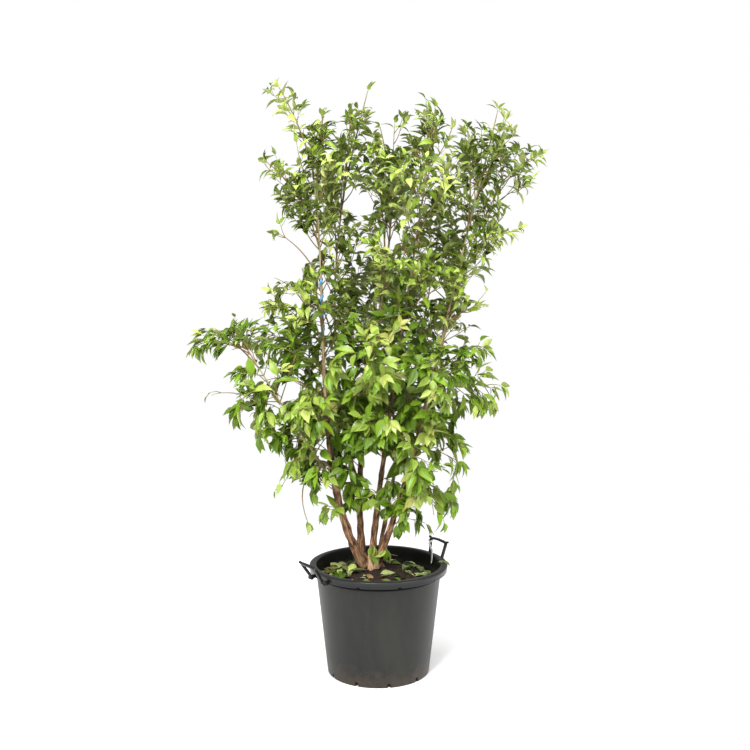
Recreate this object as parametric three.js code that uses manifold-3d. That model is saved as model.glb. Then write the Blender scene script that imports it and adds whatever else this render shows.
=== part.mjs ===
// A tall wintersweet in full leaf, grown as one clump of stems in a 50 litre nursery pot.
// Millimetres, Z up. The pot stands on its flat underside at z = 0, with its own axis on the Z axis.
// The side with the low foliage and the first fork looks towards -Y.

import * as THREE from 'three';
import { mergeVertices } from 'three/addons/utils/BufferGeometryUtils.js';
import Module from 'manifold-3d';

const wasm = await Module();
wasm.setup();

// Air left between two pieces that touch
const GAP = 0.3;

// The pot: a tapering tub with a hooked lip, drainage slots round its foot and notches under the lip
const POT = {
  height: 400,
  footRadius: 184.8,
  neckRadius: 226.5,
  rimRadius: 250,
  lipDepth: 25,
  wall: 4,
  floor: 5,
  sides: 36,
};
const DRAIN = { count: 10, firstDeg: -78.5, width: 8, height: 15, depth: 16 };
const NOTCH = { fromHandleDeg: [39.5, 73.2, 106.8, 140.5], width: 13, height: 4 };

// The compost: flat under the clump, falling away to the wall
const COMPOST = { wallLevel: 338, crownLevel: 372, crownRadius: 95 };

// The two lifting handles hang on pins outside the lip. Lean is each one's angle outwards from upright.
const HANDLE = {
  pinRadial: 259,
  pinLevel: 377,
  pinRadius: 3,
  holeRadius: 3.5,
  eyeRadius: 7.5,
  legThick: 8,
  legDeep: 11,
  legFoot: 38,
  legTop: 46,
  legStraight: 15,
  barRise: 67,
  barHalf: 53,
  barThick: 8,
  hornRise: 5,
  lugThick: 8,
  lugRadius: 8,
};
const HANDLES = [
  { name: 'handle_right', azimuthDeg: 34, leanDeg: 12 },
  { name: 'handle_left', azimuthDeg: 214, leanDeg: 33 },
];

// The stool: the woody foot that every stem rises from, with the stubs of two cut stems
const STOOL = { centre: [-27, 20], rise: 52, footRadii: [58, 50], topRadius: 26, sides: 12 };
const STUBS = [
  { foot: [-22, -6, 392], tip: [-24, -26, 438], radii: [11, 9] },
  { foot: [-6, -4, 390], tip: [-2, -24, 428], radii: [9, 7.5] },
];

// A limb's radius swells by this share over this length at its foot, and its facets are about this long
const LIMB = {
  swell: 0.22,
  swellLength: 45,
  taperPower: 1.1,
  facetLength: 125,
  thickFrom: 7,
  markSpacing: 9,
};

// Each limb is a cubic curve: it leaves its foot along spring and comes into its tip along lead
const LIMBS = [
  {
    name: 'stem_left',
    foot: [-45, 5, 378],
    spring: [-187, -119, 383],
    lead: [-70, 0, 514],
    tip: [-232, -20, 1821],
    radii: [18, 4],
  },
  {
    name: 'stem_centre',
    foot: [-27, 10, 390],
    spring: [51, 19, 500],
    lead: [85, 18, 581],
    tip: [174, -48, 1852],
    radii: [14, 4],
  },
  {
    name: 'stem_right',
    foot: [-8, -3, 390],
    spring: [162, -113, 439],
    lead: [142, 1, 543],
    tip: [361, -10, 1787],
    radii: [14, 4],
  },
  {
    name: 'stem_back',
    foot: [-57, 25, 388],
    spring: [-56, 88, 553],
    lead: [-5, -26, 525],
    tip: [52, 100, 1849],
    radii: [15, 4],
  },
  {
    name: 'stem_thin',
    foot: [-4, 24, 388],
    spring: [65, 54, 359],
    lead: [64, 15, 473],
    tip: [229, 175, 1657],
    radii: [9, 3.5],
  },
  {
    name: 'stem_fork',
    foot: [-73, 62, 655],
    spring: [-83, -19, 300],
    lead: [90, -31, 434],
    tip: [-110, 120, 1808],
    radii: [9, 3.5],
  },
  {
    name: 'stem_twin',
    foot: [217, -42, 1178],
    spring: [42, 41, 153],
    lead: [122, 16, 212],
    tip: [446, 65, 1775],
    radii: [6, 3.5],
  },
  {
    name: 'bough_left',
    foot: [-141, -52, 671],
    spring: [-78, -40, 141],
    lead: [-145, 22, 240],
    tip: [-448, -135, 1185],
    radii: [8, 3.5],
  },
  {
    name: 'bough_left_arm',
    foot: [-310, -128, 952],
    spring: [-97, -25, -32],
    lead: [-139, -12, 58],
    tip: [-473, -170, 1038],
    radii: [4.5, 3],
  },
  {
    name: 'bough_left_low',
    foot: [-147, -55, 744],
    spring: [-64, -31, 56],
    lead: [-70, -60, -48],
    tip: [-312, -160, 779],
    radii: [5.5, 3],
  },
  {
    name: 'bough_left_inner',
    foot: [-168, -55, 888],
    spring: [-122, 73, 231],
    lead: [-40, 32, 264],
    tip: [-263, 40, 1332],
    radii: [6, 3.5],
  },
];

// Each mass of foliage: the limb it grows from, how far up that limb, its furthest tip and its girth radius
const MASSES = [
  ['crown_left_spike', 'stem_left', 1, [-365, -20, 2135], 85],
  ['crown_left_peak', 'stem_left', 0.9, [-190, 50, 2050], 88],
  ['crown_left_shoulder', 'stem_left', 0.84, [-410, -110, 1865], 95],
  ['crown_left_side', 'stem_left', 0.72, [-370, -110, 1620], 115],
  ['crown_mid_spike', 'stem_fork', 1, [-25, 100, 2145], 80],
  ['crown_mid_front', 'stem_fork', 0.85, [-130, -90, 1815], 115],
  ['crown_mid_back', 'stem_fork', 0.74, [-210, 320, 1850], 135],
  ['crown_back_peak', 'stem_back', 1, [60, 100, 2030], 88],
  ['crown_back_rear', 'stem_back', 0.8, [50, 360, 1835], 130],
  ['crown_centre_peak', 'stem_centre', 1, [200, -60, 2065], 92],
  ['crown_centre_front', 'stem_centre', 0.86, [65, -210, 1820], 120],
  ['crown_centre_right', 'stem_centre', 0.8, [285, -200, 1805], 125],
  ['crown_right_peak', 'stem_right', 1, [425, -10, 2060], 88],
  ['crown_right_inner', 'stem_right', 0.86, [315, 90, 2010], 90],
  ['crown_right_tip', 'stem_twin', 1, [605, 60, 1890], 75],
  ['crown_right_side', 'stem_twin', 0.6, [500, -60, 1600], 115],
  ['crown_thin_top', 'stem_thin', 1, [345, 290, 1905], 120],
  ['mid_left_front', 'stem_left', 0.58, [-225, -200, 1485], 130],
  ['mid_front', 'stem_centre', 0.66, [-20, -220, 1560], 130],
  ['mid_right_front', 'stem_centre', 0.58, [205, -210, 1445], 140],
  ['mid_left_back', 'stem_fork', 0.45, [-295, 260, 1475], 145],
  ['mid_back', 'stem_back', 0.52, [25, 360, 1490], 145],
  ['mid_right_back', 'stem_thin', 0.62, [370, 330, 1475], 140],
  ['mid_right_side', 'stem_right', 0.62, [380, -50, 1355], 115],
  ['left_inner_top', 'bough_left_inner', 1, [-415, 50, 1465], 105],
  ['left_arm_top', 'bough_left', 0.88, [-610, -90, 1295], 60],
  ['left_arm_tip', 'bough_left', 1, [-680, -150, 1210], 60],
  ['left_arm_mid', 'bough_left_inner', 0.55, [-445, 60, 1260], 100],
  ['left_low_tip', 'bough_left_arm', 1, [-635, -180, 1030], 60],
  ['left_low', 'bough_left_arm', 0.5, [-460, -170, 880], 100],
  ['left_droop', 'bough_left_low', 1, [-370, -190, 675], 100],
  ['left_base', 'bough_left_low', 0.35, [-265, -110, 515], 95],
  ['lap_left', 'stem_left', 0.4, [-265, -210, 1075], 140],
  ['lap_front', 'stem_centre', 0.34, [-55, -220, 940], 150],
  ['lap_front_top', 'stem_centre', 0.46, [-70, -220, 1225], 150],
  ['lap_right', 'stem_right', 0.46, [175, -220, 1160], 150],
  ['lap_right_low', 'stem_right', 0.26, [135, -210, 850], 130],
  ['right_out', 'stem_right', 0.44, [460, -30, 1055], 110],
  ['right_low_front', 'stem_right', 0.24, [230, -170, 565], 120],
  ['right_low_side', 'stem_right', 0.3, [340, -40, 765], 105],
  ['back_low_left', 'stem_fork', 0.2, [-300, 260, 960], 140],
  ['back_low_mid', 'stem_back', 0.28, [-55, 330, 950], 150],
  ['back_low_right', 'stem_thin', 0.34, [275, 300, 995], 140],
];

// Foliage drawn larger than life, so that few leaves still fill each mass
const SPRAY = {
  stemRadii: [5, 3.4],
  twigRadii: [2.4, 2],
  twigAngleDeg: [62, 36],
  twigReach: 0.7,
  twigTrims: [1, 0.75, 0.5],
  clearance: 2,
  twigPair: 0.6,
  pairSpacing: 68,
  pairShares: [0.96, 0.14],
  sunk: 4,
  headShare: 0.85,
  leafRange: [0.86, 1.08],
  leafShare: 1.6,
  leafLimits: [104, 155],
  leafNeck: 0.12,
  leafWidth: 0.56,
  leafWidest: 0.46,
  leafThick: 0.022,
  leafAngleDeg: [42, 60],
  faceUp: 0.55,
  faceOut: 0.95,
  faceAny: 0.65,
  droop: [0.12, 0.6],
  droopBelow: 1500,
  droopSpan: 500,
  lowestLeaf: 490,
  tries: [
    [1, 0],
    [1, 24],
    [1, -24],
    [0.86, 45],
    [0.86, -45],
    [0.72, 0],
    [0.72, 70],
    [0.72, -70],
  ],
};

// A mass's space is a spindle, widest a little beyond the middle of its line. Parting planes keep room
// between the marks along two masses' lines, and otherwise set their hearts furthest apart.
const SPACE = { widest: 0.56, half: 0.62, marks: [0, 0.17, 0.34, 0.5, 0.67, 0.84, 1], heart: 0.62, room: 14 };

const UP = new THREE.Vector3(0, 0, 1);
const SIDEWAYS = new THREE.Vector3(0.3, 1, 0.2);

// More than any distance on the plant
const FAR = 10000;

const FINISHES = {
  pot: { color: '#3f403c', roughness: 0.62, metalness: 0 },
  handle: { color: '#2b2c2b', roughness: 0.55, metalness: 0 },
  compost: { color: '#3a2a20', roughness: 0.95, metalness: 0 },
  bark: { color: '#8f6b4c', roughness: 0.85, metalness: 0 },
  leafHigh: { color: '#7d9c45', roughness: 0.6, metalness: 0 },
  leafLow: { color: '#4f8a2c', roughness: 0.55, metalness: 0 },
};

const radians = THREE.MathUtils.degToRad;
const vector = (coordinates) => new THREE.Vector3(...coordinates);

// A closed solid from any three.js geometry
function solidOf(geometry) {
  const bare = geometry.clone();
  bare.deleteAttribute('normal');
  bare.deleteAttribute('uv');
  const merged = mergeVertices(bare, 1e-4);
  return new wasm.Manifold(
    new wasm.Mesh({
      numProp: 3,
      vertProperties: new Float32Array(merged.attributes.position.array),
      triVerts: new Uint32Array(merged.index.array),
    }),
  );
}

// The faces of a solid as a three.js geometry
function geometryOf(solid) {
  const mesh = solid.getMesh();
  const geometry = new THREE.BufferGeometry();
  geometry.setAttribute('position', new THREE.BufferAttribute(mesh.vertProperties, 3));
  geometry.setIndex(new THREE.BufferAttribute(mesh.triVerts, 1));
  geometry.computeVertexNormals();
  return geometry;
}

function geometryFrom(points, faces) {
  const geometry = new THREE.BufferGeometry();
  const flat = points.flatMap((point) => point.toArray());
  geometry.setAttribute('position', new THREE.Float32BufferAttribute(flat, 3));
  geometry.setIndex(faces.flat());
  return geometry;
}

function joined(solids) {
  return solids.reduce((whole, next) => whole.add(next));
}

// The largest connected body of a solid: loose scraps are dropped
function largestBody(solid) {
  const bodies = solid.decompose();
  return bodies.reduce((best, next) => (next.volume() > best.volume() ? next : best));
}

// A round tapering tube along a curve, with flat ends square to it
function taperedTube(curve, steps, sides, radiusAt) {
  const frames = curve.computeFrenetFrames(steps);
  const points = [];
  for (let i = 0; i <= steps; i += 1) {
    const centre = curve.getPointAt(i / steps);
    const radius = radiusAt(i / steps);
    for (let j = 0; j < sides; j += 1) {
      const turn = (2 * Math.PI * j) / sides;
      const point = centre.clone();
      point.addScaledVector(frames.normals[i], radius * Math.cos(turn));
      point.addScaledVector(frames.binormals[i], radius * Math.sin(turn));
      points.push(point);
    }
  }
  const faces = [];
  for (let i = 0; i < steps; i += 1) {
    for (let j = 0; j < sides; j += 1) {
      const next = (j + 1) % sides;
      const low = i * sides;
      const high = low + sides;
      faces.push([low + j, low + next, high + next], [low + j, high + next, high + j]);
    }
  }
  const last = steps * sides;
  for (let j = 1; j < sides - 1; j += 1) {
    faces.push([0, j + 1, j], [last, last + j, last + j + 1]);
  }
  return geometryFrom(points, faces);
}

// A frame that stands at an azimuth of the pot: x outwards, y along the rim, z up
function potFrame(azimuthDeg) {
  return new THREE.Matrix4().makeRotationZ(radians(azimuthDeg));
}

function boxSolid(low, high, frame) {
  const size = high.map((value, k) => value - low[k]);
  const box = new THREE.BoxGeometry(...size);
  box.translate(...low.map((value, k) => value + size[k] / 2));
  return solidOf(box.applyMatrix4(frame));
}

// A round bar along the rim direction, between two places on it
function rimBar(radius, from, to, sides, frame) {
  const bar = new THREE.CylinderGeometry(radius, radius, to - from, sides);
  bar.translate(0, (from + to) / 2, 0);
  const pin = new THREE.Matrix4().makeTranslation(HANDLE.pinRadial, 0, HANDLE.pinLevel);
  return solidOf(bar.applyMatrix4(pin).applyMatrix4(frame));
}

// Radius of the pot's inner wall at a level
function innerRadius(level) {
  const slope = (POT.neckRadius - POT.footRadius) / (POT.height - POT.lipDepth);
  return POT.footRadius - POT.wall + slope * level;
}

function potBody() {
  const { height, footRadius, neckRadius, rimRadius, lipDepth, wall, floor, sides } = POT;
  const skirt = height - lipDepth;
  const outline = [
    [0, 0],
    [footRadius - 3, 0],
    [footRadius, 3],
    [neckRadius, skirt - 3],
    [neckRadius + 3, height - wall - 1],
    [rimRadius - wall, height - wall - 1],
    [rimRadius - wall, skirt],
    [rimRadius - 1, skirt],
    [rimRadius, height - 7],
    [rimRadius - 3, height - 1.5],
    [rimRadius - 8, height],
    [neckRadius + 2, height],
    [neckRadius - 1, height - 3],
    [innerRadius(skirt), skirt],
    [innerRadius(floor + 3), floor + 3],
    [innerRadius(floor) - 3, floor],
    [0, floor],
  ];
  const lathe = new THREE.LatheGeometry(
    outline.map(([radius, level]) => new THREE.Vector2(radius, level)),
    sides,
  );
  return solidOf(lathe.rotateX(Math.PI / 2));
}

// Two ears outside a handle's legs, each with the pin that the leg turns on
function handleLugs(frame) {
  const { pinRadial, pinLevel, pinRadius, legFoot, legThick, lugThick, lugRadius } = HANDLE;
  const inner = legFoot + legThick / 2 + 0.6;
  const outer = inner + lugThick;
  const hidden = Math.sqrt(POT.rimRadius ** 2 - outer ** 2) - 2.5;
  const parts = [];
  for (const side of [-1, 1]) {
    const [from, to] = side > 0 ? [inner, outer] : [-outer, -inner];
    const pinEnd = side * (legFoot - legThick / 2 - 1.5);
    const pinSpan = side > 0 ? [pinEnd, inner + 1] : [-inner - 1, pinEnd];
    parts.push(rimBar(lugRadius, from, to, 10, frame));
    parts.push(boxSolid([hidden, from, pinLevel - 6], [pinRadial, to, pinLevel + 6], frame));
    parts.push(rimBar(pinRadius, ...pinSpan, 8, frame));
  }
  return joined(parts);
}

function potSolid() {
  let solid = potBody();
  for (const handle of HANDLES) {
    solid = solid.add(handleLugs(potFrame(handle.azimuthDeg)));
  }
  for (let k = 0; k < DRAIN.count; k += 1) {
    const frame = potFrame(DRAIN.firstDeg + (k * 360) / DRAIN.count);
    const low = [POT.footRadius - DRAIN.depth, -DRAIN.width / 2, -1];
    const high = [POT.footRadius + 4, DRAIN.width / 2, DRAIN.height];
    solid = solid.subtract(boxSolid(low, high, frame));
  }
  const skirt = POT.height - POT.lipDepth;
  for (const handle of HANDLES) {
    for (const offset of NOTCH.fromHandleDeg) {
      const frame = potFrame(handle.azimuthDeg + offset);
      const low = [POT.rimRadius - POT.wall - 3, -NOTCH.width / 2, skirt - 1];
      const high = [POT.rimRadius + 3, NOTCH.width / 2, skirt + NOTCH.height];
      solid = solid.subtract(boxSolid(low, high, frame));
    }
  }
  return largestBody(solid);
}

function compostSolid() {
  const { wallLevel, crownLevel, crownRadius } = COMPOST;
  const fit = 0.4;
  const floor = POT.floor + fit;
  const outline = [
    [0, floor],
    [innerRadius(floor) - fit - 3, floor],
    [innerRadius(floor + 3) - fit, floor + 3],
    [innerRadius(wallLevel) - fit, wallLevel],
    [innerRadius(wallLevel) - 24, wallLevel + 4],
    [crownRadius + 30, crownLevel - 9],
    [crownRadius, crownLevel],
    [0, crownLevel],
  ];
  const lathe = new THREE.LatheGeometry(
    outline.map(([radius, level]) => new THREE.Vector2(radius, level)),
    POT.sides,
  );
  return solidOf(lathe.rotateX(Math.PI / 2));
}

// A lifting handle: two legs that stand apart at the top, a bar with small horns, and round eyes on the pins
function handleSolid({ azimuthDeg, leanDeg }) {
  const { legThick, legDeep, legFoot, legTop, legStraight, barRise, barHalf, barThick, hornRise } = HANDLE;
  const half = legThick / 2;
  const frame = potFrame(azimuthDeg);
  const outline = new THREE.Shape();
  outline.moveTo(legFoot + half, 0);
  outline.lineTo(legFoot + half, legStraight);
  outline.lineTo(legTop + half, barRise - 4);
  outline.lineTo(barHalf + half, barRise + hornRise);
  outline.lineTo(barHalf - 3, barRise + hornRise);
  outline.lineTo(legTop - half, barRise + 1);
  outline.quadraticCurveTo(0, barRise + 5, -legTop + half, barRise + 1);
  outline.lineTo(-barHalf + 3, barRise + hornRise);
  outline.lineTo(-barHalf - half, barRise + hornRise);
  outline.lineTo(-legTop - half, barRise - 4);
  outline.lineTo(-legFoot - half, legStraight);
  outline.lineTo(-legFoot - half, 0);
  outline.lineTo(-legFoot + half, 0);
  outline.lineTo(-legFoot + half, legStraight);
  outline.lineTo(-legTop + half + 1, barRise - barThick);
  outline.quadraticCurveTo(0, barRise - barThick + 3, legTop - half - 1, barRise - barThick);
  outline.lineTo(legFoot - half, legStraight);
  outline.lineTo(legFoot - half, 0);
  const options = { depth: legDeep, bevelEnabled: false, curveSegments: 3 };
  const hoop = new THREE.ExtrudeGeometry(outline, options);
  hoop.translate(0, 0, -legDeep / 2);
  const standing = new THREE.Matrix4().makeBasis(
    new THREE.Vector3(0, 1, 0),
    new THREE.Vector3(0, 0, 1),
    new THREE.Vector3(1, 0, 0),
  );
  const lean = new THREE.Matrix4().makeRotationY(radians(leanDeg));
  const pin = new THREE.Matrix4().makeTranslation(HANDLE.pinRadial, 0, HANDLE.pinLevel);
  hoop.applyMatrix4(standing).applyMatrix4(lean).applyMatrix4(pin).applyMatrix4(frame);
  const eyes = [-1, 1].map((side) =>
    rimBar(HANDLE.eyeRadius, side * legFoot - half, side * legFoot + half, 12, frame),
  );
  const bores = [-1, 1].map((side) =>
    rimBar(HANDLE.holeRadius, side * legFoot - half - 1, side * legFoot + half + 1, 10, frame),
  );
  return joined([solidOf(hoop), ...eyes]).subtract(joined(bores));
}

// The stool's dome, lobed a little where the stems leave it
function stoolDome(grown) {
  const { centre, rise, footRadii, topRadius, sides } = STOOL;
  const levels = [0, 0.22, 0.55, 0.85, 1];
  const points = [];
  for (const level of levels) {
    const flare = (1 - level) ** 1.6;
    for (let j = 0; j < sides; j += 1) {
      const turn = (2 * Math.PI * j) / sides;
      const lobe = 1 + 0.07 * Math.cos(5 * turn + 0.6);
      const wide = (topRadius + (footRadii[0] - topRadius) * flare) * lobe + grown;
      const deep = (topRadius + (footRadii[1] - topRadius) * flare) * lobe + grown;
      const height = COMPOST.crownLevel + GAP + rise * level + (level === 1 ? grown : 0);
      const x = centre[0] + wide * Math.cos(turn);
      const y = centre[1] + deep * Math.sin(turn);
      points.push(new THREE.Vector3(x, y, height));
    }
  }
  const faces = [];
  for (let i = 0; i < levels.length - 1; i += 1) {
    for (let j = 0; j < sides; j += 1) {
      const next = (j + 1) % sides;
      const low = i * sides;
      const high = low + sides;
      faces.push([low + j, low + next, high + next], [low + j, high + next, high + j]);
    }
  }
  const last = (levels.length - 1) * sides;
  for (let j = 1; j < sides - 1; j += 1) {
    faces.push([0, j + 1, j], [last, last + j, last + j + 1]);
  }
  return solidOf(geometryFrom(points, faces));
}

function stubSolid({ foot, tip, radii }, grown) {
  const line = new THREE.LineCurve3(vector(foot), vector(tip));
  return solidOf(taperedTube(line, 1, 8, (t) => radii[0] + (radii[1] - radii[0]) * t + grown));
}

function stoolSolid(grown) {
  return joined([stoolDome(grown), ...STUBS.map((stub) => stubSolid(stub, grown))]);
}

function limbCurve({ foot, spring, lead, tip }) {
  return new THREE.CubicBezierCurve3(
    vector(foot),
    vector(foot).add(vector(spring)),
    vector(tip).sub(vector(lead)),
    vector(tip),
  );
}

// A limb swells a little at its foot and then tapers evenly to its tip
function limbRadius({ radii }, length, t) {
  const swell = LIMB.swell * Math.exp((-t * length) / LIMB.swellLength);
  return (radii[1] + (radii[0] - radii[1]) * (1 - t) ** LIMB.taperPower) * (1 + swell);
}

function limbSolid(limb, grown) {
  const length = limb.curve.getLength();
  const steps = Math.max(5, Math.round(length / LIMB.facetLength));
  const sides = limb.radii[0] > LIMB.thickFrom ? 7 : 5;
  return solidOf(taperedTube(limb.curve, steps, sides, (t) => limbRadius(limb, length, t) + grown));
}

for (const limb of LIMBS) {
  limb.curve = limbCurve(limb);
}

// Points along every limb with the limb's radius there, for keeping foliage clear of the wood
function woodPoints() {
  const found = [];
  for (const limb of LIMBS) {
    const length = limb.curve.getLength();
    const count = Math.ceil(length / LIMB.markSpacing);
    for (let k = 0; k <= count; k += 1) {
      const t = k / count;
      const point = limb.curve.getPointAt(t);
      found.push({ point, radius: limbRadius(limb, length, t) });
    }
  }
  return found;
}

// A repeatable stream of numbers from 0 to 1
function randomFrom(seed) {
  let state = seed >>> 0;
  return () => {
    state = (state + 0x6d2b79f5) >>> 0;
    let mixed = Math.imul(state ^ (state >>> 15), 1 | state);
    mixed = (mixed + Math.imul(mixed ^ (mixed >>> 7), 61 | mixed)) ^ mixed;
    return ((mixed ^ (mixed >>> 14)) >>> 0) / 4294967296;
  };
}

// The axis of a mass runs straight from its limb to its tip
function massAxis({ limb, at, tip }) {
  const start = limb.curve.getPointAt(at);
  if (at === 1) {
    start.addScaledVector(limb.curve.getTangentAt(at), GAP);
  }
  return new THREE.LineCurve3(start, tip);
}

// The plane that parts two masses: of many directions between their stems, the one that leaves
// both stems clear and their bulk furthest apart. The room between is shared by girth.
function partingPlane(one, two) {
  let best = null;
  for (const a of one.marks) {
    for (const b of two.marks) {
      const normal = b.clone().sub(a).normalize();
      const nearOne = Math.max(...one.marks.map((mark) => mark.dot(normal)));
      const nearTwo = Math.min(...two.marks.map((mark) => mark.dot(normal)));
      const room = nearTwo - nearOne;
      const apart = two.heart.dot(normal) - one.heart.dot(normal);
      const worth = room >= SPACE.room ? FAR + apart : room;
      if (best === null || worth > best.worth) {
        const share = one.girth / (one.girth + two.girth);
        best = { worth, normal, offset: nearOne + room * share };
      }
    }
  }
  return best;
}

const masses = MASSES.map(([name, limbName, at, tip, girth], k) => {
  const limb = LIMBS.find((candidate) => candidate.name === limbName);
  const mass = { name, limb, at, tip: vector(tip), girth, seed: 101 + 17 * k, walls: [] };
  mass.axis = massAxis(mass);
  mass.marks = SPACE.marks.map((t) => mass.axis.getPoint(t));
  mass.heart = mass.axis.getPoint(SPACE.heart);
  mass.root = mass.axis.getPoint(0);
  mass.span = mass.tip.clone().sub(mass.root);
  return mass;
});

for (let i = 0; i < masses.length; i += 1) {
  for (let j = i + 1; j < masses.length; j += 1) {
    const plane = partingPlane(masses[i], masses[j]);
    masses[i].walls.push({ normal: plane.normal, limit: plane.offset - GAP });
    masses[j].walls.push({ normal: plane.normal.clone().negate(), limit: -plane.offset - GAP });
  }
}

// A mass keeps to a spindle round the line from its root to its tip, inside every parting plane
function insideSpace(mass, point) {
  const along = point.clone().sub(mass.root);
  const s = along.dot(mass.span) / mass.span.lengthSq();
  const aside = along.addScaledVector(mass.span, -s).length();
  const shape = 1 - ((s - SPACE.widest) / SPACE.half) ** 2;
  if (s > 1 || shape <= 0 || aside > mass.girth * Math.sqrt(shape)) {
    return false;
  }
  if (point.z < SPRAY.lowestLeaf) {
    return false;
  }
  return mass.walls.every((wall) => point.dot(wall.normal) <= wall.limit);
}

// The two directions square to a stem that its four flat sides face
function stemSides(forward) {
  const across = forward.clone().cross(Math.abs(forward.z) > 0.9 ? SIDEWAYS : UP).normalize();
  return { across, aside: forward.clone().cross(across) };
}

// The four corners of a stem at one place
function stemCorners(place, forward, radius) {
  const { across, aside } = stemSides(forward);
  return [45, 135, 225, 315].map((turnDeg) => {
    const turn = radians(turnDeg);
    const point = place.clone().addScaledVector(across, radius * Math.cos(turn));
    return point.addScaledVector(aside, radius * Math.sin(turn));
  });
}

// A straight stem with four flat sides, which leaf pairs leave by turns
function stemSolid(from, to, radii) {
  const forward = to.clone().sub(from).normalize();
  const points = [...stemCorners(from, forward, radii[0]), ...stemCorners(to, forward, radii[1])];
  const faces = [
    [0, 2, 1],
    [0, 3, 2],
    [4, 5, 6],
    [4, 6, 7],
  ];
  for (let j = 0; j < 4; j += 1) {
    const next = (j + 1) % 4;
    faces.push([j, next, next + 4], [j, next + 4, j + 4]);
  }
  return solidOf(geometryFrom(points, faces));
}

// The four long edges of a stem, for telling whether it passes through a leaf
function stemEdges(from, to, radius) {
  const forward = to.clone().sub(from).normalize();
  const low = stemCorners(from, forward, radius);
  const high = stemCorners(to, forward, radius);
  return low.map((corner, k) => [corner, high[k]]);
}

// A leaf blade of four faces, bent down along its midrib, with its root sunk in the stem
function leafBlade(root, along, up, length) {
  const across = along.clone().cross(up).normalize();
  const above = across.clone().cross(along).normalize();
  const at = (u, v, w) =>
    root.clone().addScaledVector(along, u).addScaledVector(across, v).addScaledVector(above, w);
  const half = (length * SPRAY.leafWidth) / 2;
  const thick = length * SPRAY.leafThick;
  const corners = {
    root: at(0, 0, 0),
    neck: at(length * SPRAY.leafNeck, 0, 0),
    right: at(length * SPRAY.leafWidest, half, -thick),
    left: at(length * SPRAY.leafWidest, -half, -thick),
    tip: at(length, 0, 0),
  };
  return { ...corners, across, above, half, length, along };
}

function bladeSolid({ root, right, left, tip }) {
  const faces = [
    [0, 1, 3],
    [0, 3, 2],
    [0, 2, 1],
    [1, 2, 3],
  ];
  return solidOf(geometryFrom([root, right, left, tip], faces));
}

// The six lines that stand for a blade beyond its neck: outline, midrib and widest line
function bladeLines({ neck, right, left, tip }) {
  return [
    [neck, right],
    [right, tip],
    [tip, left],
    [left, neck],
    [neck, tip],
    [left, right],
  ];
}

function lineMeets([from, to], { neck, right, left, tip }) {
  const aim = to.clone().sub(from);
  const length = aim.length();
  const ray = new THREE.Ray(from, aim.normalize());
  const hit = new THREE.Vector3();
  const halves = [
    [neck, right, tip],
    [neck, tip, left],
  ];
  return halves.some((half) => ray.intersectTriangle(...half, false, hit) && hit.distanceTo(from) < length);
}

function bladesCross(one, two) {
  if (one.root.distanceTo(two.root) > one.length + two.length) {
    return false;
  }
  const firstMeets = bladeLines(one).some((line) => lineMeets(line, two));
  return firstMeets || bladeLines(two).some((line) => lineMeets(line, one));
}

// True when no wood passes through a leaf's box
function leafClear(leaf, wood) {
  return wood.every(({ point, radius }) => {
    const offset = point.clone().sub(leaf.root);
    const margin = radius + SPRAY.clearance;
    const u = offset.dot(leaf.along);
    const v = Math.abs(offset.dot(leaf.across));
    const w = Math.abs(offset.dot(leaf.above));
    return u < -margin || u > leaf.length + margin || v > leaf.half + margin || w > margin + SPRAY.clearance;
  });
}

function twigClear(base, nose, wood) {
  const margin = SPRAY.twigRadii[0] + SPRAY.clearance;
  for (let k = 1; k <= 6; k += 1) {
    const place = base.clone().lerp(nose, k / 6);
    if (wood.some(({ point, radius }) => point.distanceTo(place) < radius + margin)) {
      return false;
    }
  }
  return true;
}

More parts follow.
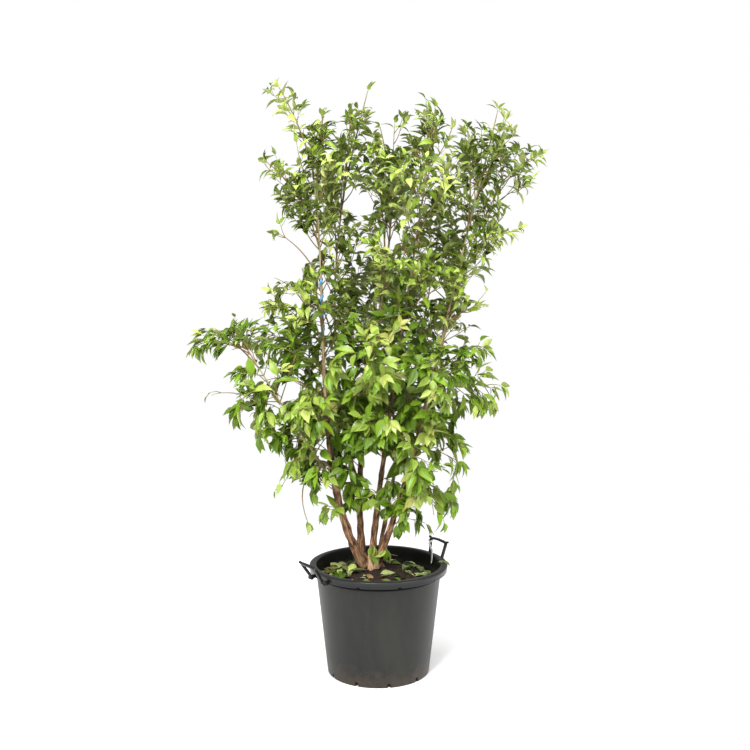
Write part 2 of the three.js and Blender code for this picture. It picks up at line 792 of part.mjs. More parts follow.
// The foliage of one mass: a stem, opposite leaf pairs on it, and a few side twigs with leaves of their own
class MassGrowth {
  constructor(mass, woodAll) {
    this.mass = mass;
    this.random = randomFrom(mass.seed);
    this.leafLength = THREE.MathUtils.clamp(mass.girth * SPRAY.leafShare, ...SPRAY.leafLimits);
    const nearby = mass.span.length() + mass.girth + 60;
    this.wood = woodAll.filter(({ point }) => point.distanceTo(mass.heart) < nearby);
    const low = THREE.MathUtils.clamp((SPRAY.droopBelow - mass.heart.z) / SPRAY.droopSpan, 0, 1);
    this.droop = THREE.MathUtils.lerp(...SPRAY.droop, low);
    this.solids = [];
    this.blades = [];
    this.edges = [];
  }

  addTube(from, to, radii) {
    this.solids.push(stemSolid(from, to, radii));
    this.edges.push(...stemEdges(from, to, radii[0]));
  }

  // A leaf faces out from the middle of the crown and up, less or more turned any way round
  faceAt(place) {
    const turn = 2 * Math.PI * this.random();
    const face = new THREE.Vector3(Math.cos(turn), Math.sin(turn), 0).multiplyScalar(SPRAY.faceAny);
    const out = new THREE.Vector3(place.x, place.y, 0).normalize();
    return face.addScaledVector(out, SPRAY.faceOut).addScaledVector(UP, SPRAY.faceUp).normalize();
  }

  addLeaf(place, aim, length) {
    const face = this.faceAt(place);
    for (const [share, turnDeg] of SPRAY.tries) {
      const aimed = aim.clone().applyAxisAngle(face, radians(turnDeg));
      const leaf = leafBlade(place, aimed, face, length * share);
      const outer = [leaf.right, leaf.left, leaf.tip];
      const held = outer.every((corner) => insideSpace(this.mass, corner));
      const struck =
        this.edges.some((edge) => lineMeets(edge, leaf)) || this.blades.some((other) => bladesCross(leaf, other));
      if (held && !struck && leafClear(leaf, this.wood)) {
        this.blades.push(leaf);
        this.solids.push(bladeSolid(leaf));
        return true;
      }
    }
    return false;
  }

  // Two opposite leaves, out of one or the other pair of a stem's flat sides
  addPair(place, forward, turned) {
    const sides = stemSides(forward);
    const outward = turned ? sides.aside : sides.across;
    for (const side of [1, -1]) {
      const angle = radians(THREE.MathUtils.lerp(...SPRAY.leafAngleDeg, this.random()));
      const aim = forward.clone().multiplyScalar(Math.cos(angle));
      aim.addScaledVector(outward, side * Math.sin(angle));
      aim.z -= this.droop;
      const length = this.leafLength * THREE.MathUtils.lerp(...SPRAY.leafRange, this.random());
      this.addLeaf(place, aim.normalize(), length);
    }
  }

  // The leaf that ends a stem, aimed at a place
  addHead(from, forward, aim, length) {
    const sunk = from.clone().addScaledVector(forward, -SPRAY.sunk);
    return this.addLeaf(sunk, aim, length + SPRAY.sunk);
  }

  addStem() {
    const { root, span } = this.mass;
    const forward = span.clone().normalize();
    const reach = span.length();
    const length = reach - this.leafLength * SPRAY.headShare;
    const end = root.clone().addScaledVector(forward, length);
    this.addTube(root, end, SPRAY.stemRadii);
    this.stem = { root, end, forward };
    this.pairCount = Math.max(2, Math.round(length / SPRAY.pairSpacing));
    this.addHead(end, forward, forward, (reach - length) * 0.999);
  }

  // Leaf pairs stand down the stem from near its end, each a quarter turn from the last
  pairShare(k) {
    const [highest, lowest] = SPRAY.pairShares;
    return highest + ((lowest - highest) * k) / this.pairCount;
  }

  addStemLeaves() {
    const { root, end, forward } = this.stem;
    for (let k = 0; k < this.pairCount; k += 1) {
      this.addPair(root.clone().lerp(end, this.pairShare(k)), forward, k % 2 === 1);
    }
  }

  addTwig(share, side) {
    const { root, end, forward } = this.stem;
    const base = root.clone().lerp(end, share);
    const { across, aside } = stemSides(forward);
    const outward = (side % 2 === 0 ? across : aside).multiplyScalar(side < 2 ? 1 : -1);
    const angle = radians(THREE.MathUtils.lerp(...SPRAY.twigAngleDeg, share));
    const aim = forward.clone().multiplyScalar(Math.cos(angle)).addScaledVector(outward, Math.sin(angle));
    for (const trim of SPRAY.twigTrims) {
      const nose = base.clone().addScaledVector(aim, this.mass.girth * SPRAY.twigReach * trim);
      const edges = stemEdges(base, nose, SPRAY.twigRadii[0]);
      const struck = this.blades.some((blade) => edges.some((edge) => lineMeets(edge, blade)));
      const lowered = aim.clone().addScaledVector(UP, -this.droop).normalize();
      const free = insideSpace(this.mass, nose) && !struck && twigClear(base, nose, this.wood);
      if (free && this.addHead(nose, aim, lowered, this.leafLength)) {
        this.addTube(base, nose, SPRAY.twigRadii);
        this.addPair(base.clone().lerp(nose, SPRAY.twigPair), aim, this.random() < 0.5);
        return true;
      }
    }
    return false;
  }

  // Twigs leave the stem halfway between its leaf pairs
  addTwigs() {
    const first = Math.floor(4 * this.random());
    for (let k = 0; k < this.pairCount; k += 1) {
      for (let turn = 0; turn < 4; turn += 1) {
        if (this.addTwig(this.pairShare(k + 0.5), (first + k + turn) % 4)) {
          break;
        }
      }
    }
  }

  solid() {
    this.addStem();
    this.addStemLeaves();
    this.addTwigs();
    return wasm.Manifold.union(this.solids);
  }
}

const wood = woodPoints();
const plant = new THREE.Group();

function addMesh(name, solid, finish) {
  const mesh = new THREE.Mesh(geometryOf(solid), new THREE.MeshStandardMaterial(finish));
  mesh.name = name;
  plant.add(mesh);
}

addMesh('pot', potSolid(), FINISHES.pot);
addMesh('compost', compostSolid(), FINISHES.compost);
for (const handle of HANDLES) {
  addMesh(handle.name, handleSolid(handle), FINISHES.handle);
}
addMesh('stool', stoolSolid(0), FINISHES.bark);

// Stems are set into the stool, and each limb into the one it forks from, with a hair's gap round the joint
const fatStool = stoolSolid(GAP);
const fatLimbs = new Map();
for (const limb of LIMBS) {
  let solid = limbSolid(limb, 0).subtract(fatStool);
  for (const earlier of fatLimbs.values()) {
    solid = solid.subtract(earlier);
  }
  fatLimbs.set(limb.name, limbSolid(limb, GAP));
  addMesh(limb.name, largestBody(solid), FINISHES.bark);
}

const allWood = joined([...fatLimbs.values()]);
for (const mass of masses) {
  const solid = largestBody(new MassGrowth(mass, wood).solid().subtract(allWood));
  const finish = mass.tip.z > 1300 ? FINISHES.leafHigh : FINISHES.leafLow;
  addMesh(mass.name, solid, finish);
}

export default plant;
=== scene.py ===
import logging
import math
from dataclasses import dataclass, field
from enum import Enum
from functools import partial

import bpy
import numpy as np
from bpy.types import ID, Material, Node, NodeSocket, NodeTree, Object
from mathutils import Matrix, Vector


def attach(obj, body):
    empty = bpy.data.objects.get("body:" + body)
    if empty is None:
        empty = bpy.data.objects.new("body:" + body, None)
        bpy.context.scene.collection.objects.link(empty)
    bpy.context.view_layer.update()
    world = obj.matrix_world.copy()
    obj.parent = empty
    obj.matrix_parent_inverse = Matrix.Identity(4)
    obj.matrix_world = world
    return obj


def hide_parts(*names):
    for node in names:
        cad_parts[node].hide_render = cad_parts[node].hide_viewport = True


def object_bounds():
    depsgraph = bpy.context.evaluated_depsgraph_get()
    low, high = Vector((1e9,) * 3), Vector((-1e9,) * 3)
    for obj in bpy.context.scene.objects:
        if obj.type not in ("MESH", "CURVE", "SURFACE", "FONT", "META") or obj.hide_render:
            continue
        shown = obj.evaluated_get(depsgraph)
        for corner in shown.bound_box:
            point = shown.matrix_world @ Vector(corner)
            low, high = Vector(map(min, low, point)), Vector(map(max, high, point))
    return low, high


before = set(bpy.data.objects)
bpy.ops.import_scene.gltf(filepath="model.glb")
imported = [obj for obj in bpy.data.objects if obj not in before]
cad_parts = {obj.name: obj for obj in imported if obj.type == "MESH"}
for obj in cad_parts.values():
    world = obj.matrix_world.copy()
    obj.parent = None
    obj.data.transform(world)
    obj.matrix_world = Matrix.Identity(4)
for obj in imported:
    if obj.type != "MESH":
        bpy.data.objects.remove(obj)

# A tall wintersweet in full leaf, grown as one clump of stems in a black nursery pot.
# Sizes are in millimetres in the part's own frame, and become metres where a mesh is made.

Array = np.ndarray
Pair = tuple[float, float]
Triple = tuple[float, float, float]
Stops = tuple[tuple[float, str], ...]

CAD_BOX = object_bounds()
BODY = "plant"
MM = 0.001
UP = np.array([0.0, 0.0, 1.0])
SIDEWAYS = np.array([0.3, 1.0, 0.2])
FULL_TURN = 2 * math.pi
CAMERA_PLACE = (0.0, -3.839, 1.496)

log = logging.getLogger("wintersweet")


def linear(code: str) -> tuple[float, float, float, float]:
    """Turns an sRGB hex colour into linear light.

    Args:
        code: the colour as "#rrggbb".

    Returns:
        Red, green, blue and an opacity of 1.
    """
    shares = [int(code[k : k + 2], 16) / 255 for k in (1, 3, 5)]
    red, green, blue = (s / 12.92 if s <= 0.04045 else ((s + 0.055) / 1.055) ** 2.4 for s in shares)
    return red, green, blue, 1.0


def unit(vectors: Array) -> Array:
    """Vectors brought to length one."""
    return vectors / np.maximum(np.linalg.norm(vectors, axis=-1, keepdims=True), 1e-9)


def mixed(low: float | Array, high: float | Array, share: float | Array) -> Array:
    """Values a share of the way from low to high."""
    return low + (high - low) * share


def square_to(heading: Array, guide: Array | None = None) -> tuple[Array, Array]:
    """Two directions square to each heading: across = heading x guide, aside = heading x across.

    Args:
        heading: unit vectors, the last axis being x, y and z.
        guide: the direction to cross with. Without it, it is up, or sideways for a steep heading.

    Returns:
        The directions across and aside, of the same shape as heading.
    """
    if guide is None:
        guide = np.where(np.abs(heading[..., 2:]) > 0.9, SIDEWAYS, UP)
    across = unit(np.cross(heading, guide))
    return across, np.cross(heading, across)


def turned(across: Array, aside: Array, turn: Array) -> Array:
    """Directions turned from across towards aside: cos turn across + sin turn aside."""
    return np.cos(turn)[..., None] * across + np.sin(turn)[..., None] * aside


def ripple(places: Array, wavelength: float, seed: int, waves: int = 22) -> Array:
    """Smooth random relief: the sum of sines whose directions are random and wavelengths near one size.

    Args:
        places: points, the last axis being x, y and z.
        wavelength: the usual distance from crest to crest.
        seed: which relief it is.
        waves: how many sines are summed.

    Returns:
        A height for each place, mostly between -1 and 1.
    """
    draw = np.random.default_rng(seed)
    aims = unit(draw.normal(size=(waves, 3))) / (wavelength * draw.uniform(0.65, 1.5, (waves, 1)))
    phases = draw.uniform(0, FULL_TURN, waves)
    return np.sin(FULL_TURN * places @ aims.T + phases).sum(axis=-1) * math.sqrt(1 / waves)


def new_object(name: str, data: ID) -> Object:
    """Makes an object and puts it into the scene.

    Args:
        name: its name.
        data: its mesh, lamp or camera.

    Returns:
        The object.
    """
    made = bpy.data.objects.new(name, data)
    bpy.context.scene.collection.objects.link(made)
    return made


def ring_angles(count: int) -> Array:
    """The angles of a count of corners spaced evenly round a ring."""
    return FULL_TURN * np.arange(count) / count


def circling(radius: Array | float, turn: Array, level: Array | float) -> Array:
    """Places round the vertical axis: (radius cos turn, radius sin turn, level)."""
    x = radius * np.cos(turn)
    return np.stack([x, radius * np.sin(turn), level + 0 * x], axis=-1)


def run_length(line: Array) -> Array:
    """The distance along a line up to each of its points."""
    return np.concatenate([[0.0], np.cumsum(np.linalg.norm(np.diff(line, axis=0), axis=1))])


def resampled(path: Array, count: int, wide: int) -> Array:
    """A path's columns at places evenly along it.

    Args:
        path: its points, one row each.
        count: how many places.
        wide: how many of the columns are the point itself.

    Returns:
        The columns at those places.
    """
    run = run_length(path[:, :wide])
    fine = np.linspace(0, run[-1], count)
    return np.stack([np.interp(fine, run, column) for column in path.T], axis=1)


def joined(rings: int, sides: int, looped: bool = False) -> Array:
    """Faces between rings whose corners are numbered ring by ring.

    Args:
        rings: how many rings there are.
        sides: how many corners each has.
        looped: whether the last ring is joined to the first.

    Returns:
        The faces, of four corners each.
    """
    ring = np.arange(rings if looped else rings - 1)[:, None] * sides
    after = (ring + sides) % (rings * sides)
    near = np.arange(sides)
    far = (near + 1) % sides
    return np.stack([ring + near, ring + far, after + far, after + near], axis=-1).reshape(-1, 4)


def fans(rings: int, sides: int) -> Array:
    """Faces of three corners that close the first and the last of such rings, each round one more corner.

    Args:
        rings: how many rings there are.
        sides: how many corners each has.

    Returns:
        The faces, of three corners each.
    """
    near = np.arange(sides)
    far = (near + 1) % sides
    last = (rings - 1) * sides
    foot = np.stack([np.full(sides, rings * sides), far, near], axis=-1)
    head = np.stack([np.full(sides, rings * sides + 1), last + near, last + far], axis=-1)
    return np.concatenate([foot, head])


@dataclass
class Surface:
    """Corners and faces that are put together before they become a piece."""

    points: list[Array] = field(default_factory=list)
    quads: list[Array] = field(default_factory=list)
    triangles: list[Array] = field(default_factory=list)
    count: int = 0

    def add(self, points: Array, quads: Array | None = None, triangles: Array | None = None) -> None:
        """Adds bodies of one make.

        Args:
            points: the corners as (bodies, corners, 3), or (corners, 3) for one body.
            quads: one body's faces of four corners, which are counted from zero.
            triangles: its faces of three corners.
        """
        bodies = points.reshape(-1, *points.shape[-2:])
        shift = self.count + np.arange(len(bodies))[:, None, None] * bodies.shape[1]
        for group, faces in ((self.quads, quads), (self.triangles, triangles)):
            if faces is not None:
                group.append((faces + shift).reshape(-1, faces.shape[1]))
        self.points.append(bodies.reshape(-1, 3))
        self.count += len(self.points[-1])

    def add_rings(self, rings: Array, ends: Array) -> None:
        """Adds closed bodies, each of rings that are joined in order and closed round two end places.

        Args:
            rings: the corners as (bodies, rings, sides, 3).
            ends: the end places as (bodies, 2, 3).
        """
        bodies, count, sides, _ = rings.shape
        points = np.concatenate([rings.reshape(bodies, -1, 3), ends], axis=1)
        self.add(points, joined(count, sides), fans(count, sides))

    def piece(
        self,
        name: str,
        finishes: list[Material],
        slot: str,
        nodes: tuple[str, ...] = (),
        body: str = BODY,
        places: dict[str, Array] | None = None,
    ) -> Object:
        """Makes the mesh, dresses it, puts it on its body and hides the CAD nodes that it stands for.

        Args:
            name: the piece's name.
            finishes: the materials, in the order of the faces' numbers for them.
            slot: not used.
            nodes: the CAD nodes that it stands for.
            body: the CAD body that it moves with.
            places: for patterns that follow the surface, three numbers for each corner, by attribute.

        Returns:
            The new object, smooth shaded.
        """
        mesh = bpy.data.meshes.new(name)
        points = np.concatenate(self.points)
        faces = [np.concatenate(group) for group in (self.quads, self.triangles) if group]
        mesh.vertices.add(len(points))
        mesh.vertices.foreach_set("co", (points * MM).astype(np.float32).ravel())
        corners = np.concatenate([group.ravel() for group in faces]).astype(np.int32)
        counts = np.concatenate([np.full(len(group), group.shape[1]) for group in faces])
        mesh.loops.add(len(corners))
        mesh.loops.foreach_set("vertex_index", corners)
        mesh.polygons.add(len(counts))
        mesh.polygons.foreach_set("loop_start", (np.cumsum(counts) - counts).astype(np.int32))
        mesh.update(calc_edges=True)
        mesh.shade_smooth()
        for finish in finishes:
            mesh.materials.append(finish)
        for key, values in (places or {}).items():
            attribute = mesh.attributes.new(key, "FLOAT_VECTOR", "POINT")
            attribute.data.foreach_set("vector", values.astype(np.float32).ravel())
        piece = new_object(name, mesh)
        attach(piece, body)
        if nodes:
            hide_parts(*nodes)
        mesh.calc_loop_triangles()
        log.info("%s: %d triangles", name, len(mesh.loop_triangles))
        return piece


def tube(surface: Surface, points: Array, radii: Array, guide: Array | None = None) -> Array:
    """Adds a closed tube round each curve: corner = place + radius (cos turn across + sin turn aside).

    Args:
        surface: what the tubes are added to.
        points: n curves of k places each, as (n, k, 3).
        radii: the radius at each corner, as (n, k, sides).
        guide: the direction that fixes how the rings are turned.

    Returns:
        For each corner its place beside the curve and its distance along it, for patterns.
    """
    count, places, sides = radii.shape
    across, aside = square_to(unit(np.gradient(points, axis=1)), guide)
    turn = ring_angles(sides)
    out = turned(across[:, :, None], aside[:, :, None], turn)
    surface.add_rings(points[:, :, None] + radii[..., None] * out, points[:, [0, -1]])
    steps = np.linalg.norm(np.diff(points, axis=1), axis=-1)
    along = np.concatenate([np.zeros((count, 1)), np.cumsum(steps, axis=1)], axis=1)
    pattern = circling(radii, turn, along[..., None]).reshape(count, places * sides, 3)
    middle = np.zeros((count, 2, 3))
    middle[:, :, 2] = along[:, [0, -1]]
    return np.concatenate([pattern, middle], axis=1).reshape(-1, 3)


def ribbon(surface: Surface, line: Array, above: Array, width: float, thick: float) -> None:
    """Adds a closed strip along a line: its corners stand half a width to each side and a thickness above.

    Args:
        surface: what it is added to.
        line: the places along it, one row each.
        above: the direction square to its face at each place.
        width: its width.
        thick: its thickness.
    """
    half = unit(np.cross(above, np.gradient(line, axis=0))) * width / 2
    lift = above * thick
    ring = np.stack([line - half, line + half, line + half + lift, line - half + lift], axis=1)
    foot = np.arange(4)[None]
    ends = [foot[:, ::-1], foot + 4 * (len(line) - 1)]
    surface.add(ring.reshape(-1, 3), np.concatenate([joined(len(line), 4), *ends]))


def rounded(corners: list[Triple], steps: int = 4) -> Array:
    """An outline with its corners rounded, each by a quadratic arc between places a radius away from it.

    Args:
        corners: each corner's two coordinates and its radius, zero for a sharp one.
        steps: how many points an arc has.

    Returns:
        The outline's points, one row each.
    """
    table = np.array(corners)
    place, radius = table[:, None, :2], table[:, None, 2:]
    before = place + unit(np.roll(place, 1, axis=0) - place) * radius
    after = place + unit(np.roll(place, -1, axis=0) - place) * radius
    t = np.linspace(0, 1, steps)[None, :, None]
    arcs = ((1 - t) ** 2 * before + 2 * t * (1 - t) * place + t**2 * after).reshape(-1, 2)
    fresh = np.linalg.norm(np.diff(arcs, axis=0, prepend=arcs[:1] - 1), axis=1) > 1e-4
    return arcs[fresh]


def around_pot(local: Array, azimuth: float) -> Array:
    """Turns points given as outwards, along the rim and up to an azimuth of the pot.

    Args:
        local: the points, one row each.
        azimuth: degrees from the X axis.

    Returns:
        The points in the part's frame.
    """
    turn = math.radians(azimuth)
    outward = np.array([math.cos(turn), math.sin(turn), 0.0])
    sideways = np.array([-math.sin(turn), math.cos(turn), 0.0])
    return local[..., :1] * outward + local[..., 1:2] * sideways + local[..., 2:] * UP


def add_node(
    tree: NodeTree, kind: str, inputs: dict | None = None, out: int | str = 0, stops: Stops = ()
) -> NodeSocket:
    """Adds a node with its settings and links.

    Args:
        tree: the nodes that it joins.
        kind: the node's type, less the words that all types begin with.
        inputs: what an input (by name or number) or a property is set to, or the output that feeds it.
        out: the output that is wanted, by number or name.
        stops: a colour ramp's places and colours.

    Returns:
        The output that is wanted.
    """
    node = tree.nodes.new("ShaderNode" + kind)
    for key, value in (inputs or {}).items():
        if isinstance(value, NodeSocket):
            tree.links.new(value, node.inputs[key])
        elif isinstance(key, int) or key in node.inputs:
            node.inputs[key].default_value = value
        else:
            setattr(node, key, value)
    for k, (place, colour) in enumerate(stops):
        stop = node.color_ramp.elements[k] if k < 2 else node.color_ramp.elements.new(place)
        stop.position = place
        stop.color = linear(colour)
    return node.outputs[out]


def feed(node: Node, outputs: dict[str, NodeSocket]) -> None:
    """Feeds inputs of a node, by name, from outputs."""
    for key, output in outputs.items():
        node.id_data.links.new(output, node.inputs[key])


def new_material(name: str, settings: dict) -> tuple[Material, partial, Node]:
    """Starts a material on the Principled shader.

    Args:
        name: the real material's name.
        settings: values for the shader's own inputs.

    Returns:
        The material, what adds a node to it, and its shader.
    """
    material = bpy.data.materials.new(name)
    material.use_nodes = True
    shader = material.node_tree.nodes["Principled BSDF"]
    for key, value in settings.items():
        shader.inputs[key].default_value = value
    return material, partial(add_node, material.node_tree), shader


def per_metre(millimetres: float) -> float:
    """A pattern's scale for features of a size."""
    return 1 / (millimetres * MM)


@dataclass(frozen=True)
class MouldedPolypropylene:
    """Black moulded polypropylene: spark-finished, dull, dusty, soiled low down, with a painted highlight of
    lighter grey on the lip's top.
    """

    name: str = "moulded_polypropylene"
    plastic: str = "#0f1010"
    dust: str = "#22221c"
    soil: str = "#41352a"
    # The lighter grey of the painted highlight on the lip's top
    rubbed: str = "#444547"
    roughness: float = 0.36
    gleam: float = 0.28
    dust_mm: float = 70.0
    streak: float = 0.25
    splash_mm: float = 30.0
    # The real grain is a few tenths of a millimetre, and is drawn coarser so that it shows
    grain_mm: float = 1.6
    # Heights in metres: how far up soil reaches, where dust ends under the lip, and from where the lip's top
    # is painted lighter as a highlight
    soiled_to: float = 0.13
    dusty_to: Pair = (0.352, 0.374)
    rubbed_from: float = 0.388

    def material(self) -> Material:
        """Nodes for dust in long streaks below the lip, soil splashed up from the foot, a painted highlight
        of lighter grey on the lip's top, and a fine grain.

        Returns:
            The material.
        """
        material, add, shader = new_material(self.name, {"IOR": 1.49, "Specular IOR Level": self.gleam})
        place = add("TexCoord", out="Object")
        height = add("SeparateXYZ", {"Vector": place}, "Z")
        drawn = add("Mapping", {"Vector": place, "Scale": (1.0, 1.0, self.streak)})
        dust = {"Vector": drawn, "Scale": per_metre(self.dust_mm), "Detail": 7.0, "Roughness": 0.65}
        foot, top = self.dusty_to
        below = add("MapRange", {"Value": height, "From Min": top, "From Max": foot, "To Min": 0.1})
        settled = add("Math", {"operation": "MULTIPLY", 0: add("TexNoise", dust), 1: below})
        dusty = add("ValToRGB", {"Fac": settled}, stops=((0.34, self.plastic), (0.7, self.dust)))
        soil = {"Vector": place, "Scale": per_metre(self.splash_mm), "Detail": 8.0, "Roughness": 0.72}
        low = {"Value": height, "From Min": self.soiled_to, "From Max": 0.0, "To Min": -0.25, "To Max": 0.3}
        wet = add("Math", {"operation": "ADD", 0: add("TexNoise", soil), 1: add("MapRange", low)})
        soiled = add("MapRange", {"Value": wet, "From Min": 0.52, "From Max": 0.82, "To Max": 0.6})
        # Painted highlight: from this height up, the lip's top is mixed towards a lighter grey for the light
        # that its bead catches
        lip = self.rubbed_from
        worn = add("MapRange", {"Value": height, "From Min": lip, "From Max": lip + 0.01, "To Max": 0.5})
        pale = add("Mix", {"data_type": "RGBA", 0: worn, 6: dusty, 7: linear(self.rubbed)}, 2)
        colour = add("Mix", {"data_type": "RGBA", 0: soiled, 6: pale, 7: linear(self.soil)}, 2)
        dull, matt = self.roughness - 0.08, self.roughness + 0.22
        shine = add("MapRange", {"Value": settled, "To Min": dull, "To Max": matt})
        grain = add("TexNoise", {"Vector": place, "Scale": per_metre(self.grain_mm), "Detail": 2.0})
        relief = add("Bump", {"Height": grain, "Strength": 0.12, "Distance": 0.0006})
        feed(shader, {"Base Color": colour, "Roughness": shine, "Normal": relief})
        return material


@dataclass(frozen=True)
class Bark:
    """Live bark: fissured lengthwise, orange-brown plates between dark clefts, and grey weathered skin."""

    name: str = "bark"
    cleft: str = "#23160d"
    plate: str = "#6f4c31"
    worn: str = "#bf9672"
    skin: str = "#7f6b52"
    young: str = "#a19673"
    roughness: float = 0.82
    plate_mm: float = 11.0
    stretch: float = 0.22
    patch_mm: float = 70.0
    slim_mm: Pair = (3.5, 8.5)

    def material(self) -> Material:
        """Nodes for noise drawn out along the stem as plates and clefts, paler where the stem is slim.

        Returns:
            The material.
        """
        material, add, shader = new_material(self.name, {"Roughness": self.roughness, "IOR": 1.45})
        grain = add("Attribute", {"attribute_name": "grain"}, "Vector")
        drawn = add("Mapping", {"Vector": grain, "Scale": (1.0, 1.0, self.stretch)})
        size = {"Vector": drawn, "Scale": per_metre(self.plate_mm)}
        plates = add("TexNoise", {**size, "Detail": 6.0, "Roughness": 0.62, "Distortion": 0.5})
        stops = ((0.39, self.cleft), (0.66, self.worn), (0.49, self.plate))
        tones = add("ValToRGB", {"Fac": plates}, stops=stops)
        patches = add("TexNoise", {"Vector": grain, "Scale": per_metre(self.patch_mm), "Detail": 3.0})
        weathered = add("MapRange", {"Value": patches, "From Min": 0.45, "From Max": 0.7, "To Max": 0.5})
        colour = add("Mix", {"data_type": "RGBA", 0: weathered, 6: tones, 7: linear(self.skin)}, 2)
        ring = add("VectorMath", {"operation": "MULTIPLY", 0: grain, 1: (1.0, 1.0, 0.0)})
        away = add("VectorMath", {"operation": "LENGTH", 0: ring}, "Value")
        thin, thick = (radius * MM for radius in self.slim_mm)
        slim = add("MapRange", {"Value": away, "From Min": thick, "From Max": thin, "To Max": 0.75})
        aged = add("Mix", {"data_type": "RGBA", 0: slim, 6: colour, 7: linear(self.young)}, 2)
        relief = add("Bump", {"Height": plates, "Strength": 0.7, "Distance": 0.0012})
        feed(shader, {"Base Color": aged, "Normal": relief})
        return material


@dataclass(frozen=True)
class LeafSkin:
    """Leaf: a thin waxy skin over soft green, a paler midrib and faint side veins, never quite even."""

    name: str
    tint: str
    roughness: float = 0.33
    uneven_mm: float = 38.0
    rib_lift: float = 0.35
    veins: float = 8.0

    def material(self) -> Material:
        """Nodes for one plain tint, a little lighter or darker in soft patches, with ribs in relief.

        Returns:
            The material.
        """
        settings = {"Roughness": self.roughness, "IOR": 1.42, "Specular IOR Level": 0.38}
        material, add, shader = new_material(self.name, settings)
        place = add("TexCoord", out="Object")
        patches = add("TexNoise", {"Vector": place, "Scale": per_metre(self.uneven_mm), "Detail": 2.0})
        shade = {"Value": patches, "From Min": 0.3, "From Max": 0.7, "To Min": 0.84, "To Max": 1.16}
        blade = add("Attribute", {"attribute_name": "blade"}, "Vector")
        across = add("SeparateXYZ", {"Vector": blade}, "X")
        beside = add("Math", {"operation": "ABSOLUTE", 0: across})
        rib = add("MapRange", {"Value": beside, "From Min": 0.1, "From Max": 0.0, "To Max": self.rib_lift})
        brighter = add("Math", {"operation": "ADD", 0: add("MapRange", shade), 1: rib})
        colour = add("VectorMath", {"operation": "SCALE", 0: linear(self.tint)[:3], "Scale": brighter})
        along = across.node.outputs["Y"]
        slant = add("Math", {"operation": "MULTIPLY_ADD", 0: beside, 1: -0.35, 2: along})
        waves = add("Math", {"operation": "PINGPONG", 0: slant, 1: 0.5 / self.veins})
        relief = add("Bump", {"Height": waves, "Strength": 0.35, "Distance": 0.004})
        feed(shader, {"Base Color": colour, "Normal": relief})
        return material


@dataclass(frozen=True)
class Mottled:
    """A finish of patches in two or three colours, smooth, or crumbly where it has a relief."""

    name: str
    stops: Stops
    patch_mm: float
    roughness: float
    ior: float
    detail: float = 3.0
    breakup: float = 0.5
    relief: float = 0.0

    def material(self) -> Material:
        """Nodes for noise through a colour ramp, and for the same noise as relief.

        Returns:
            The material.
        """
        material, add, shader = new_material(self.name, {"Roughness": self.roughness, "IOR": self.ior})
        size = {"Scale": per_metre(self.patch_mm), "Detail": self.detail, "Roughness": self.breakup}
        patches = add("TexNoise", {"Vector": add("TexCoord", out="Object"), **size})
        feed(shader, {"Base Color": add("ValToRGB", {"Fac": patches}, stops=self.stops)})
        if self.relief:
            bump = {"Height": patches, "Strength": self.relief, "Distance": 0.003}
            feed(shader, {"Normal": add("Bump", bump)})
        return material


# The skin of this year's shoots: smooth, olive where young and brown where it has ripened
OLIVE_TO_BROWN = ((0.4, "#6f7437"), (0.6, "#80603f"))
YOUNG_BARK = Mottled("young_bark", OLIVE_TO_BROWN, patch_mm=55.0, roughness=0.6, ior=1.45)
# Potting compost: matt, nearly black where damp, with brown fibre and bark crumbs
DAMP_TO_DRY = ((0.36, "#100b08"), (0.72, "#5d452e"), (0.55, "#291d16"))
POTTING_COMPOST = Mottled("potting_compost", DAMP_TO_DRY, 7.0, 0.95, 1.4, detail=7.0, breakup=0.7, relief=0.9)
# Thin extruded plastic: an even colour, faded and scuffed in patches, with a dull gloss
BLUE_TAPE = Mottled("blue_tape", ((0.4, "#1f7fc4"), (0.65, "#63b0e0")), 9.0, roughness=0.45, ior=1.5)
WHITE_STRAP = Mottled("white_strap", ((0.4, "#e6e6e2"), (0.65, "#cfcfc8")), 9.0, roughness=0.45, ior=1.5)


@dataclass(frozen=True)
class CutWood:
    """Sawn end grain: pale straw, ringed, matt and a little soiled."""

    name: str = "cut_wood"
    pale: str = "#cfae7d"
    ring: str = "#a37b4f"
    ring_mm: float = 1.6

    def material(self) -> Material:
        """Nodes for growth rings round the middle of each cut.

        Returns:
            The material.
        """
        material, add, shader = new_material(self.name, {"Roughness": 0.75, "IOR": 1.45})
        grain = add("Attribute", {"attribute_name": "grain"}, "Vector")
        waves = {"wave_type": "RINGS", "rings_direction": "Z", "Scale": 0.3 * per_metre(self.ring_mm)}
        rings = add("TexWave", {"Vector": grain, **waves, "Distortion": 2.0}, "Fac")
        tones = add("ValToRGB", {"Fac": rings}, stops=((0.2, self.pale), (0.9, self.ring)))
        feed(shader, {"Base Color": tones})
        return material


class LeafTint(Enum):
    """The plain tints that sprays of leaves are dealt: the upper side and the underside."""

    SHADED = ("#435610", "#748442")
    OLIVE = ("#718827", "#95a554")
    SAGE = ("#98a84e", "#aeb86f")
    PALE = ("#a7b263", "#bac381")
    DEEP = ("#4d6815", "#7d9242")
    GREEN = ("#6c8b22", "#93a94e")
    BRIGHT = ("#758b33", "#9bab5d")
    LIME = ("#8e9d48", "#a9b56a")
    YELLOWED = ("#94974a", "#afb070")
    WITHERED = ("#7d6138", "#9c8454")
    WILTED = ("#5c6a36", "#8b9468")
    FADED = ("#8c965f", "#a9af84")

    def finishes(self) -> list[Material]:
        """Makes the materials of a leaf of this tint, once.

        Returns:
            That of the upper side, then that of the underside.
        """
        known = bpy.data.materials
        name = "leaf_" + self.name.lower()
        if name not in known:
            LeafSkin(name, self.value[0]).material()
            LeafSkin(name + "_underside", self.value[1], roughness=0.6, rib_lift=0.2).material()
        return [known[name], known[name + "_underside"]]


